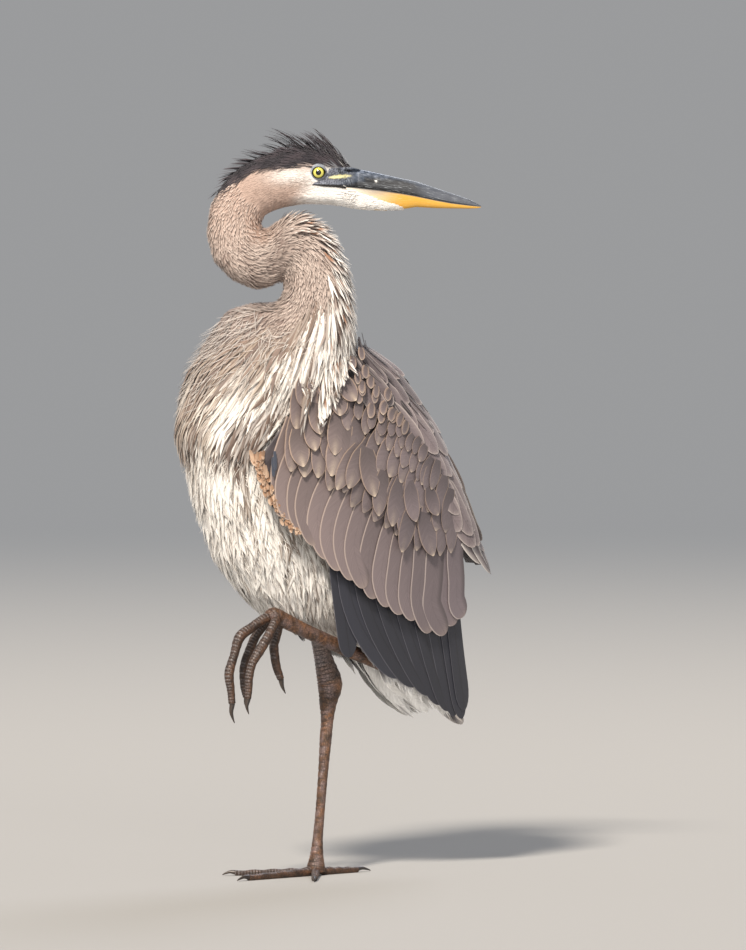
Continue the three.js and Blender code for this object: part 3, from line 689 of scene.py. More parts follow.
ARM_ROWS = [  # Y, Z of the root, the coverts' hem and the secondary's tip, from front to back
    [-120, 440, -117, 423, -106, 385], [-92, 474, -98, 429, -92, 366],
    [-59, 511, -76, 423, -70, 345], [-22, 545, -48, 407, -45, 316], [15, 485, -18, 393, -18, 298],
    [43, 453, 12, 376, 8, 284], [70, 422, 40, 355, 34, 272], [92, 396, 74, 341, 66, 263],
    [112, 366, 108, 336, 98, 248], [117, 359, 118, 342, 124, 245],
]
SECONDARIES = [  # Y, Z at four places down the front edge of each feather, which lies on the one ahead
    [-103, 448, -108, 421, -104, 391, -97, 376], [-91, 447, -103, 416, -101, 391, -90, 372],
    [-80, 431, -89, 411, -89, 386, -79, 361], [-67, 432, -78, 408, -80, 382, -65, 345],
    [-51, 418, -63, 393, -65, 366, -48, 330], [-36, 405, -48, 378, -49, 351, -33, 318],
    [-19, 404, -32, 374, -33, 345, -17, 308], [-4, 399, -17, 368, -19, 338, -1, 299],
    [11, 379, 1, 347, 1, 320, 14, 288], [29, 371, 20, 342, 18, 312, 32, 279],
    [41, 356, 37, 328, 37, 297, 52, 270], [56, 341, 53, 315, 55, 288, 71, 263],
    [71, 354, 70, 322, 72, 285, 92, 249], [88, 345, 88, 308, 90, 277, 114, 245],
    [102, 342, 104, 308, 106, 282, 127, 255], [115, 337, 120, 307, 124, 281, 138, 263],
]
LARGE_COVERTS = [  # Y, Z of the root, Y, Z of the tip, half width
    [-81, 468, -77, 430, 12], [-64, 478, -63, 446, 11], [-59, 494, -57, 462, 10],
    [-23, 473, -45, 420, 14], [-28, 487, -41, 441, 13], [-9, 449, -38, 406, 11.5],
    [-1, 449, -24, 407, 12], [-27, 506, -33, 480, 11], [-25, 521, -12, 495, 12],
    [0, 450, 9, 398, 13], [23, 424, 15, 378, 11.5], [45, 416, 33, 367, 11.5],
    [59, 403, 47, 356, 11.5], [65, 392, 48, 340, 12], [76, 387, 91, 335, 13],
    [82, 406, 93, 377, 9.5], [56, 413, 64, 371, 10],
]
PRIMARIES = [  # Y, Z of the root and the tip
    [-28, 358, 5, 229], [-19, 352, 77, 207], [-2, 347, 98, 196], [19, 343, 118, 186],
    [43, 341, 135, 175], [67, 338, 148, 168], [89, 333, 159, 162], [109, 329, 170, 159],
    [124, 318, 171, 168],
]
WRIST = [[-129, 436], [-124, 419], [-116, 401], [-106, 386], [-93, 370], [-78, 358]]
ROOF_ROWS = [  # height, Y where the back's feathers meet the wing, Y at the middle of the back
    [550, -18, 47], [517, -3, 96], [488, 18, 117], [457, 46, 136], [426, 73, 150], [400, 96, 161],
    [369, 119, 173], [346, 140, 180], [318, 166, 195],
]


def wing_out(y, z):
    """How far the folded wing's outer surface stands from the bird's middle."""
    low = np.maximum(0, (430 - z) / 280)
    high = np.maximum(0, z - 430)
    back = np.maximum(0, y + 10) / 165
    front = np.maximum(0, -10 - y) / 100
    return 84 - 46 * low ** 1.8 - 0.0013 * high ** 2 - 14 * back ** 2 - 9 * front ** 2


def wing_place(y, z, lift):
    """Places on the left wing and the normals there."""
    y, z = np.asarray(y, float), np.asarray(z, float)
    slope_y = (wing_out(y + 1, z) - wing_out(y - 1, z)) / 2
    slope_z = (wing_out(y, z + 1) - wing_out(y, z - 1)) / 2
    up = unit(np.stack([np.ones_like(y), -slope_y, -slope_z], -1))
    return np.stack([wing_out(y, z), y, z], -1) + up * np.asarray(lift, float)[..., None], up


def roof_place(height, turn, lift):
    """Places on the left half of the back's feather roof. Turn is 0 at the wing, 1 at the middle."""
    rows = np.array(ROOF_ROWS[::-1], float)
    side = np.interp(height, rows[:, 0], rows[:, 1])
    middle = np.interp(height, rows[:, 0], rows[:, 2])
    low = height < rows[0, 0]
    side = np.where(low, side + (rows[0, 0] - height) * 0.55, side)
    middle = np.where(low, middle + (rows[0, 0] - height) * 0.5, middle)
    angle = np.asarray(turn, float) * math.pi / 2
    out = wing_out(side, height)
    place = np.stack([out * np.cos(angle), side + (middle - side) * np.sin(angle), height], -1)
    up = np.stack([np.cos(angle) / np.maximum(out, 1),
                   np.sin(angle) / np.maximum(middle - side, 1), 0 * angle], -1)
    up = unit(unit(up) + np.array([0, 0, 0.45]) * np.sin(angle)[..., None])
    return place + up * np.asarray(lift, float)[..., None], up


SHOULDER_HEIGHT = 540
RIGHT_SWING = 5  # degrees that the right wing swings back
RIGHT_WIDTH = 0.94  # how far out the right wing lies, as a share of the left's
RIGHT_FROM = 1.2  # row of ARM_ROWS where the right wing comes out from under the breast's plumes


def swung(points, degrees, widen):
    """Places turned about the shoulder and moved sideways to widen times as far out."""
    x, y, z = apart(points)
    c, s = math.cos(math.radians(degrees)), math.sin(math.radians(degrees))
    z = z - SHOULDER_HEIGHT
    return np.stack([x * widen, y * c - z * s, y * s + z * c + SHOULDER_HEIGHT], -1)


def to_right(points):
    """The left wing's places for the right wing, which is a little narrower and swings back."""
    return swung(points, RIGHT_SWING, -RIGHT_WIDTH)


def to_left(points):
    """The right wing's places for the left wing's tables."""
    return swung(points, -RIGHT_SWING, -1 / RIGHT_WIDTH)


def wing_sheet(lift, first, reach=1.0, rows=30, columns=46):
    """A grid of places over the left wing, lift mm outside its surface, and the normals there."""
    table = between(ARM_ROWS, np.linspace(first, 9, columns))
    share = np.linspace(0, reach, rows)[:, None, None]
    root, tip = table[None, :, 0:2], table[None, :, 4:6]
    flat = root + (tip - root) * share
    return wing_place(flat[..., 0], flat[..., 1], np.full(flat.shape[:2], lift))


def roof_sheet(lift, rows=34, columns=20):
    """A grid of places over the left half of the back's roof."""
    height, turn = np.meshgrid(np.linspace(552, 322, rows), np.linspace(-0.02, 1, columns),
                               indexing="ij")
    return roof_place(height, turn, np.full(height.shape, lift))


def for_side(parts, side):
    """A copy of the left wing's blades on the given side."""
    if side == "left":
        return parts
    return parts | {"points": to_right(parts["points"]), "faces": parts["faces"][:, ::-1]}


# ---- materials

def marked_material(name):
    """A blank material, its nodes, and the node that reads the markings."""
    made = blank_material(name)
    return made, made.node_tree, add(made.node_tree, "VertexColor", {"layer_name": "Markings"})


def surfaced(made, colour, height, lift, depth, **finish):
    """Ends a material with its colour and finish, over a bump of depth mm unless height is None."""
    tree = made.node_tree
    if height is not None:
        finish["Normal"] = add(tree, "Bump", Strength=lift, Distance=depth * MM, Height=height)
    surface = add(tree, "BsdfPrincipled", Base_Color=colour, **finish)
    add(tree, "OutputMaterial", Surface=surface)
    return made


def vane_material(name, rough, sheen, barbs, contrast, lift):
    """Feather vane: colour from the markings, fine slanting barbs, and a soft sheen."""
    made, tree, marks = marked_material(name)
    vane = add(tree, "UVMap", {"uv_map": "Vane"})
    split = add(tree, "SeparateXYZ", Vector=vane)
    off = add(tree, "Math", {"operation": "SUBTRACT"}, _0=split, _1=0.5)
    off = add(tree, "Math", {"operation": "ABSOLUTE"}, _0=off)
    slant = add(tree, "Math", {"operation": "MULTIPLY_ADD"}, _0=off, _1=-0.3, _2=split.outputs[1])
    stretch = add(tree, "Math", {"operation": "MULTIPLY"}, _0=slant, _1=barbs)
    place = add(tree, "CombineXYZ", X=stretch, Y=split, Z=0.0)
    noise = add(tree, "TexNoise", Vector=place, Scale=1.0, Detail=2.0, Roughness=0.6)
    shade = add(tree, "MapRange", Value=noise, _1=0.3, _2=0.7, _3=1 - contrast,
                _4=1 + contrast * 0.45)
    tone = add(tree, "VectorMath", {"operation": "SCALE"}, _0=marks, Scale=shade)
    return surfaced(made, tone, noise, lift, 0.4, Roughness=rough, IOR=1.54, Sheen_Weight=sheen,
                    Sheen_Roughness=0.4)


def skin_material():
    """Thin bird skin under down: matt, faintly mottled, with the coat's own markings."""
    made, tree, marks = marked_material("bird_skin_under_down")
    where = add(tree, "TexCoord")
    noise = add(tree, "TexNoise", Vector=where.outputs["Object"], Scale=1 / (2.2 * MM), Detail=3.0,
                Roughness=0.6)
    shade = add(tree, "MapRange", Value=noise, _1=0.3, _2=0.7, _3=0.82, _4=1.05)
    tone = add(tree, "VectorMath", {"operation": "SCALE"}, _0=marks, Scale=shade)
    return surfaced(made, tone, noise, 0.5, 0.3, Roughness=0.62, IOR=1.44)


def horn_material(name, rough, scuff, scuff_colour):
    """Keratin of the bill and claws: smooth, faintly translucent, with long scuffs and pale wear."""
    made, tree, marks = marked_material(name)
    where = add(tree, "UVMap", {"uv_map": "Vane"})
    grain = add(tree, "Mapping", Vector=where, Scale=(14.0, 55.0, 1.0))
    streaks = add(tree, "TexNoise", Vector=grain, Scale=1.0, Detail=4.0, Roughness=0.65)
    worn = add(tree, "MapRange", Value=streaks, _1=0.55, _2=0.68, _3=0.0, _4=scuff)
    tone = add(tree, "Mix", {"data_type": "RGBA"}, _0=worn, _6=marks, _7=scuff_colour)
    return surfaced(made, tone.outputs[2], streaks, 0.25, 0.25, Roughness=rough, IOR=1.55,
                    Coat_Weight=0.15, Coat_Roughness=0.25)


def scale_material():
    """Scaly leg skin: small hard plates with dark seams between them and a dull waxy shine."""
    made, tree, marks = marked_material("scaly_leg_skin")
    limb = add(tree, "UVMap", {"uv_map": "Vane"})
    cells = add(tree, "TexVoronoi", {"feature": "DISTANCE_TO_EDGE"}, Vector=limb, Scale=4.2,
                Randomness=0.8)  # plates about 2.4 mm across
    seam = add(tree, "MapRange", Value=cells.outputs["Distance"], _1=0.0, _2=0.16, _3=0.35, _4=1.0)
    noise = add(tree, "TexNoise", Vector=limb, Scale=9.0, Detail=3.0)
    fine = add(tree, "MapRange", Value=noise, _1=0.3, _2=0.7, _3=0.8, _4=1.15)
    both = add(tree, "Math", {"operation": "MULTIPLY"}, _0=seam, _1=fine)
    tone = add(tree, "VectorMath", {"operation": "SCALE"}, _0=marks, Scale=both)
    return surfaced(made, tone, seam, 0.8, 0.5, Roughness=0.48, IOR=1.5)


def eye_material():
    """A wet eye: the painted iris under a clear, very smooth cornea."""
    made, _, marks = marked_material("wet_eye")
    return surfaced(made, marks, None, 0, 0, Roughness=0.08, IOR=1.38, Coat_Weight=1.0,
                    Coat_Roughness=0.02)


MATERIALS = {}


def material(name):
    """The finish of that name, made once."""
    makers = {
        # Down: loose hairy barbs scatter the light, so it reads matt, with a pale bloom at its rim.
        "down": lambda: vane_material("soft_down_and_hair_feather", 0.78, 0.35, 14.0, 0.2, 0.5),
        # Plume: long open barbs give soft streaks along the blade and little shine.
        "plume": lambda: vane_material("loose_breast_plume", 0.7, 0.3, 30.0, 0.22, 0.5),
        # Covert: a closed vane, smooth to the eye, with faint slanting lines.
        "covert": lambda: vane_material("covert_vane", 0.6, 0.2, 30.0, 0.14, 0.5),
        # Flight feather: tight barbs with the dull gloss of a brushed surface.
        "quill": lambda: vane_material("flight_feather_vane", 0.5, 0.12, 110.0, 0.12, 0.45),
        # Skin, horn, scales and eyes: the functions above say what each gives the eye.
        "skin": skin_material,
        "upper_horn": lambda: horn_material("slate_bill_keratin", 0.34, 0.6, paint("a9b0b8")),
        "lower_horn": lambda: horn_material("yellow_bill_keratin", 0.36, 0.4, paint("f0dca8")),
        "claw": lambda: horn_material("dark_claw_keratin", 0.35, 0.3, paint("6b6259")),
        "scale": scale_material,
        "eye": eye_material,
    }
    if name not in MATERIALS:
        MATERIALS[name] = makers[name]()
    return MATERIALS[name]


# ---- body plumage

SURFACES = {}  # the skin's surface, kept for the coats that grow on it


def ground():
    """The skin as a surface."""
    if "skin" not in bpy.data.objects:
        raise RuntimeError("the skin is built before what grows on it")
    if "ground" not in SURFACES:
        SURFACES["ground"] = ground_of(bpy.data.objects["skin"])
    return SURFACES["ground"]


def dressed():
    """The bare skin and the folded wings as one surface, for plumes that hang over both."""
    if "dressed" in SURFACES:
        return SURFACES["dressed"]
    skin = ground()
    points, normals = [skin.points], [skin.normals]
    centre = skin.points[skin.triangles].mean(1)
    covered = under_wing(centre) | under_wing(to_left(centre))
    triangles, unwrapped = [skin.triangles[~covered]], [skin.unwrapped[~covered]]
    start = len(skin.points)
    for side in ("left", "right"):
        first, lift = (0.0, 8.0) if side == "left" else (RIGHT_FROM, 4.0)
        for places, ups in (wing_sheet(lift, first), roof_sheet(5.0)):
            shape = places.shape[:2]
            places, ups = places.reshape(-1, 3), ups.reshape(-1, 3)
            if side == "right":
                ups = to_right(places + ups) - to_right(places)
                places = to_right(places)
            quads = grid_faces(*shape)
            rows = np.concatenate([quads[:, [0, 1, 2]], quads[:, [0, 2, 3]]])
            _, _, number = skin.nearest(places[rows].mean(1))
            points.append(places)
            normals.append(unit(ups))
            triangles.append(rows + start)
            unwrapped.append(skin.unwrapped[number])
            start += len(places)
    SURFACES["dressed"] = Ground(np.concatenate(points), np.concatenate(normals),
                            np.concatenate(triangles), np.concatenate(unwrapped))
    return SURFACES["dressed"]


HEM = [[-111, 440], [-87, 456], [-75, 468], [-43, 496], [-30, 519], [-7, 555], [12, 585]]


def hem_room(points):
    """How far in mm the plumes at places may reach before the hem that leaves the wing bare."""
    left = np.where((points[:, 0] > 0)[:, None], points, to_left(points))
    line = between(HEM, np.linspace(0, 6, 60))
    gap = np.linalg.norm(left[:, None, 1:] - line[None], axis=2)
    number = gap.argmin(1)
    flow = unit(np.gradient(line, axis=0))[number]
    off = left[:, 1:] - line[number]
    above = np.sign(flow[:, 0] * off[:, 1] - flow[:, 1] * off[:, 0])
    room = above * gap[np.arange(len(points)), number]
    low = left[:, 1] < -104
    return np.where(low | (np.abs(left[:, 0]) < 12), 200, room * 1.5 + 17)


def under_wing(points):
    """True for places on the body that the left wing covers."""
    rows = between(ARM_ROWS, np.linspace(0, 9, 40))
    outline = np.concatenate([rows[:, 0:2], rows[::-1, 4:6]])
    y, z = points[:, 1], points[:, 2]
    inside = np.zeros(len(points), bool)
    for (y0, z0), (y1, z1) in zip(outline, np.roll(outline, -1, axis=0)):
        crosses = (z0 > z) != (z1 > z)
        inside ^= crosses & (y < (y1 - y0) * (z - z0) / (z1 - z0 + 1e-9) + y0)
    return inside & (points[:, 0] > 10)


class Spots:
    """Places on the body in mm with the normals there, and what the coat asks about them."""

    def __init__(self, points, normals):
        self.p, self.normals = points, normals

    @cached_property
    def q(self):
        """The same places in the head's frame."""
        return to_head(self.p)

    @cached_property
    def neck(self):
        return along_neck(self.p, self.normals)

    row = property(lambda self: self.neck[0])
    side = property(lambda self: self.neck[1])
    near = property(lambda self: self.neck[2])
    above = property(lambda self: self.q[:, 2] > cap_height(self.q[:, 0]))
    bare = property(lambda self: bare_face(self.q) * (self.row < 6))


def rise_of(low, high, power=1.5):
    """Feathers that stand low mm off the skin at the root and high at the tip, both arrays."""
    return lambda share: low + (high - low) * share ** power


def blades(spacing, wanted, seed, length, half, low, high, pieces, across, profile, colour,
           stray=0.12, ragged=0.0, camber=0.25, power=1.5, roll=0.15, over=None):
    """Plants, lays and colours one kind of small feather. Sizes may be functions of the roots."""
    skin = ground()
    at, number = skin.plant(spacing, wanted, seed)
    rng = np.random.default_rng(seed + 77)
    n = len(number)

    def value(size):
        return np.broadcast_to(size(at) if callable(size) else size, (n,)) * rng.uniform(0.82, 1.15, n)
    lines, ups = run_over(over or skin, at.p, at.normals, value(length),
                          rise_of(value(low), value(high), power), pieces, stray, seed)
    colours = coloured(n, pieces + 1, across, **colour(at, n, rng))
    return vanes(lines, ups, value(half), profile, across, colours, seed, camber,
                 rng.normal(0, roll, n), ragged, skin.unwrapped[number])


def loose(lines, up, half, profile, across, colours, seed, camber, roll, ragged, roots=None):
    """Blades along lines of their own. Their patches are those of the skin nearest their roots."""
    number = ground().nearest(lines[:, 0] if roots is None else roots)[2]
    return vanes(lines, np.broadcast_to(up, lines.shape), half, profile, across, colours, seed,
                 camber, roll, ragged, ground().unwrapped[number])


SLIM = [-1, 0, 1]
VANED = [-1, -0.4, 0, 0.4, 1]


def lance(rows, blunt=0.25, widest=0.45):
    """A long pointed outline: shares of the half width down the feather."""
    v = np.linspace(0, 1, rows)
    grow = np.clip(v / widest, 0, 1)
    fall = np.clip((1 - v) / (1 - widest), 0, 1)
    return np.clip(0.45 + 0.55 * grow, 0, 1) * (blunt + (1 - blunt) * fall ** 0.75)


def oval(rows, tip=0.15):
    """A rounded outline, full for most of its length."""
    v = np.linspace(0, 1, rows)
    return np.maximum(np.sqrt(np.clip(1 - np.clip((v - 0.5) / 0.5, 0, 1) ** 2.6, 0, 1)), tip) * (
        0.55 + 0.45 * np.clip(v / 0.35, 0, 1))


def varied(colours, rng, amount=0.08, n=None):
    """Colours, or one colour for all of n, with each feather a little lighter or darker."""
    return colours * rng.uniform(1 - amount, 1 + amount, (n or len(colours), 1))


def head_plumage():
    def cap(at):
        return at.near * at.above * (at.row < 9.3) * (1 - at.bare)

    def cheek(at):
        return at.near * ~at.above * (at.row < 8.2) * (at.bare < 0.3)

    def cap_colour(at, n, rng):
        base = varied(markings(at), rng, 0.25)
        return dict(base=base, streak=(base * 0.6, 0.5), tip=(base * 1.4 + 0.006, 0.5))

    def cheek_colour(at, n, rng):
        base = varied(markings(at), rng, 0.07)
        x, _, z = apart(at.q)
        ear = bell(x + 12, 13) * bell(z - 722, 8)
        streaks = (rng.random(n) < 0.12 * ramp(8, -14, x) + 0.6 * ear) * (0.25 + 0.5 * ear)
        return dict(base=base, streak=(BELLY_BROWN, streaks), tip=(np.minimum(base * 1.15, 0.9), 0.5))

    top = blades(1.7, cap, 11, lambda at: np.interp(at.q[:, 0], [-100, -60, 34], [20, 16, 11]), 0.8,
                 0.3, 2.0, 5, SLIM, lance(6, 0.12), cap_colour, ragged=0.1)
    sides = blades(1.45, cheek, 12, lambda at: np.interp(at.row, [0, 8], [4.2, 7]), 0.7, 0.1, 0.7, 3,
                   SLIM, lance(4, 0.3), cheek_colour, stray=0.16, ragged=0.12)
    coat_piece("head_down", [top, sides, chin_point(), crest()], "down", ["crest"])


CREST_LOCKS = [  # root X, root Z, tip X, tip Z in the head's frame
    [31, 738, 21, 753], [25, 742, 4.5, 774], [18, 746, -8, 774], [10, 749, -17, 772.5],
    [-6, 751, -44, 776.5], [-20, 751, -56, 768.5], [-34, 749, -66, 760], [-52, 744, -84, 746],
    [-70, 736, -100, 728], [-86, 724, -112, 704],
]


def crest():
    """Wisps that rise from the forehead and crown and curl back, over a raised mass of cap feathers."""
    rng = np.random.default_rng(31)
    wisps, each, rows = 21, 8, 10
    lock = np.repeat(np.linspace(0.2, 5.6, wisps) + rng.uniform(-0.15, 0.15, wisps), each)
    height = np.repeat(rng.uniform(0.8, 1.12, wisps), each)
    lean = np.repeat(rng.uniform(-0.8, 0.8, wisps), each)
    fill = 230
    lock = np.concatenate([lock, rng.uniform(0, 6.2, fill), rng.uniform(6.4, 9, 60)])
    height = np.concatenate([height, rng.uniform(0.15, 0.5, fill), rng.uniform(0.8, 1.1, 60)])
    lean = np.concatenate([lean, rng.uniform(-1, 1, fill), rng.uniform(-0.5, 0.5, 60)])
    n = len(lock)
    flat = lock > 6.3
    ends = between(CREST_LOCKS, np.clip(lock, 0, 9))
    width = np.interp(ends[:, 0], [-86, -20, 31], [12, 12, 6.5])
    aside = np.clip(lean + rng.normal(0, 0.16, n), -1, 1)
    back = rng.uniform(-7, 9, n)
    root = np.stack([ends[:, 0] + back, aside * width, ends[:, 1] - 1.5 - 5 * aside ** 2
                     - np.abs(back) * 0.1], -1)
    tip = np.stack([ends[:, 2], lean * width * 0.7, ends[:, 3] - 3 * lean ** 2], -1)
    reach = height * np.where(np.arange(n) < wisps * each, rng.uniform(0.82, 1.04, n), 1)
    tip = root + (tip - root) * reach[:, None] + rng.normal(0, 0.9, (n, 3))
    tip[:, 0] -= np.where(reach < 0.6, 9, 0)
    s = np.linspace(0, 1, rows)[None, :, None]
    bend = root * 0.45 + tip * 0.55
    bend[:, 2] += np.where(flat, 1.5, 0.16 * np.linalg.norm(tip - root, axis=1))
    bend[:, 0] += np.where(flat, 0, 2.5)
    line = root[:, None] * (1 - s) ** 2 + 2 * bend[:, None] * s * (1 - s) + tip[:, None] * s ** 2
    up = unit(np.stack([0.3 + 0 * aside, aside * 0.8 - 0.2, 1 + 0 * aside], -1))
    base = varied(chosen("cap"), rng, 0.3, n)
    colours = coloured(n, rows, SLIM, base, tip=(CAP_BROWN, 0.8), tip_from=0.45)
    half = np.where(np.arange(n) < wisps * each, rng.uniform(0.45, 0.8, n), rng.uniform(0.9, 1.4, n))
    return loose(from_head(line), turned(up)[:, None], half, lance(rows, 0.06, 0.25), SLIM, colours,
                 31, 0.3, rng.normal(0, 0.5, n), 0.04)


def chin_point():
    """White chin feathers that reach forward under the bill to a rounded point."""
    rng = np.random.default_rng(33)
    n, rows = 1300, 4
    x = 20 + 66 * rng.random(n) ** 1.15
    bill = between_x(BILL_ROWS, np.maximum(x, 34))
    bill[:, 4] = np.maximum(bill[:, 4], np.interp(x, [20, 27, 34, 37], [16.6, 15.2, 12.2, 10.4]))
    share = np.interp(x, [20, 38, 47, 61, 82, 91], [0.86, 0.86, 0.7, 0.55, 0.27, 0.0])
    part = rng.random(n) ** 0.8
    tall = (bill[:, 2] - bill[:, 3]) * share
    side = np.where(rng.random(n) < 0.5, -1, 1)
    rise = part * tall
    full = np.sin(np.arccos(np.clip(1 - rise / np.maximum(bill[:, 2] - bill[:, 3], 1), 0, 1)))
    y = side * (bill[:, 4] + 0.3) * np.clip(full, 0.0, 1) ** 0.8
    out = unit(np.stack([0 * x, side * (0.25 + full), -(1.05 - full)], -1))
    rise += np.interp(x, [20, 34], [3.2, 0]) * (1 - part)
    root = np.stack([x, y, bill[:, 3] + rise - 0.2], -1)
    s = np.linspace(0, 1, rows)[None, :, None]
    long = (rng.uniform(5, 8, n) * np.interp(x, [24, 88], [1, 0.7]))[:, None, None]
    way = np.stack([np.ones(n), -0.05 * side, np.interp(x, [34, 90], [-0.05, 0.04])], -1)
    line = root[:, None] + way[:, None] * s * long + out[:, None] * (0.1 + 0.8 * s)
    base = varied(chosen("cheek"), rng, 0.06, n)
    return loose(from_head(line), turned(out)[:, None], 0.85, lance(rows, 0.3), SLIM,
                 coloured(n, rows, SLIM, base), 33, 0.2, rng.normal(0, 0.2, n), 0.1)


def between_x(rows, x):
    """Reads a table by its first column, which may rise or fall."""
    rows = np.asarray(rows, float)
    if rows[0, 0] > rows[-1, 0]:
        rows = rows[::-1]
    return np.stack([np.interp(x, rows[:, 0], column) for column in rows.T], -1)


def neck_plumage():
    def neck(at):
        return at.near * ((at.row > 7.6) | ((at.row > 6.5) & ~at.above))

    def front(at):
        return at.near * ramp(12.6, 14.5, at.row) * ramp(-0.3, -0.6, at.side)

    def neck_colour(at, n, rng):
        base = varied(markings(at), rng, 0.14)
        pale = rng.random(n) ** 1.2 * 0.95
        return dict(base=base, streak=(PLUME_DARK, (rng.random(n) < 0.3) * 0.35), streak_to=0.6,
                    tip=(NECK_PALE * 1.08, pale), tip_from=0.5)

    def front_colour(at, n, rng):
        pick = rng.random(n) * ramp(14.2, 18, at.row) ** 0.7
        base = np.where((pick > 0.3)[:, None], chosen("plume"), mix(chosen("neck"), NECK_PALE, 0.45))
        middle = bell(at.side + 0.62, 0.12) * ramp(13.5, 15, at.row)
        lot = rng.random(n)
        base = np.where((lot < 0.16 * middle)[:, None], THROAT_RUST, base)
        base = np.where((lot > 1 - 0.3 * middle)[:, None], PLUME_DARK, base)
        # The darker edges are painted shade between the lances.
        edge = 0.3 + rng.random(n) * 0.6
        return dict(base=varied(base, rng, 0.08), edge=(chosen("neck") * 0.7, edge), edge_from=0.35,
                    tip=(chosen("plume"), 0.75), tip_from=0.62)

    def front_long(at):
        return np.minimum(np.interp(at.row, [12.5, 15, 17, 20], [9, 13, 22, 42]), hem_room(at.p))

    long = blades(2.2, neck, 21, lambda at: np.interp(at.row, [7, 10, 18], [7, 8.5, 11]), 0.95, 0.3,
                  lambda at: np.interp(at.row, [7, 18], [2.4, 3.6]), 4, SLIM, lance(5, 0.2),
                  neck_colour, stray=0.16, ragged=0.12)
    lances = blades(4.0, front, 22, front_long, 1.7, 1.2,
                    lambda at: np.interp(at.row, [12.5, 14.5, 19], [6, 10.5, 11]), 6, VANED,
                    lance(7, 0.1, 0.45), front_colour, stray=0.1, ragged=0.08, power=1.3,
                    over=dressed())
    coat_piece("neck_down", long, "down")
    coat_piece("foreneck_lances", lances, "plume")


def breast_plumage():
    def breast(at):
        front = ramp(45, 15, at.p[:, 1])
        return (1 - at.near * (at.row < 20)) * ramp(425, 440, at.p[:, 2]) * front

    def plumes(at):
        whole = np.maximum(1 - at.near, ramp(18.2, 19.5, at.row) * ramp(0.6, 0.2, at.side))
        return (whole * ramp(472, 492, at.p[:, 2]) * ramp(60, 30, at.p[:, 1])
                * ramp(22, 36, fan_angle(at.p)) * (hem_room(at.p) > 12))

    def hem(at):
        height = at.p[:, 2] + 13 * speckle(at.p, 42, 44)
        return breast(at) * ramp(438, 452, height) * ramp(502, 480, height)

    def how_streaked(at):
        return ramp(30, 50, fan_angle(at.p) + 9 * speckle(at.p, 30, 5))

    def plume_colour(at, n, rng):
        # The white runs together in bands that spread from the top of the fan.
        much = how_streaked(at)
        base = varied(mix(chosen("breast"), FLANK, rng.random(n) * 0.8), rng, 0.16)
        white = mix(CREAM, chosen("plume"), much)
        place = np.stack([fan_angle(at.p), 0.04 * at.p[:, 2], np.zeros(n)], -1)
        band = np.clip(ramp(-0.4, 0.1, speckle(place, 7.5, 17)) + rng.normal(0, 0.22, n), 0, 1)
        shares = np.clip(0.25 * (rng.random(n) < 0.5) + 1.1 * much * band, 0, 1)
        base = mix(base, PLUME_DARK, np.clip(0.55 * much * (1 - band) + rng.normal(0, 0.1, n), 0, 0.7))
        base = mix(base, white, much * band * 0.75)
        return dict(base=base, streak=(white, shares), streak_width=0.68, tip=(white, shares * 0.7),
                    tip_from=0.8, edge=(FLANK, 0.45))

    def soft_colour(at, n, rng):
        base = varied(markings(at), rng, 0.1)
        thin = (rng.random(n) < 0.25 + 0.4 * how_streaked(at)) * 0.75
        return dict(base=base, streak=(CREAM, thin), streak_width=0.18)

    def plume_long(at):
        along = (chosen("breast_length") * np.interp(fan_angle(at.p), [25, 50, 85], [0.55, 0.88, 1])
                 * np.interp(at.p[:, 2], [480, 540], [0.75, 1.05]))
        return np.minimum(along, hem_room(at.p))

    soft = blades(4.2, breast, 41, 17, 2.7, 0.8, 2.6, 4, [-1, -0.25, 0, 0.25, 1], oval(5), soft_colour,
                  ragged=0.15)
    long = blades(5.6, plumes, 42, plume_long,
                  lambda at: np.interp(fan_angle(at.p), [25, 55], [1.5, 3.7]),
                  2.0, lambda at: np.interp(at.p[:, 2], [470, 580], [9, 7]), 9, VANED,
                  lance(10, 0.03, 0.5), plume_colour, stray=0.09, ragged=0.06, power=1.1,
                  over=dressed())
    short = blades(6.0, hem, 43, lambda at: 34 + 12 * speckle(at.p, 25, 45), 2.6, 1.6, 7, 5, VANED,
                   lance(6, 0.1, 0.5), plume_colour, stray=0.15, ragged=0.2, power=1.1)
    coat_piece("breast_down", soft, "down")
    coat_piece("breast_plumes_long", [long, short], "plume")


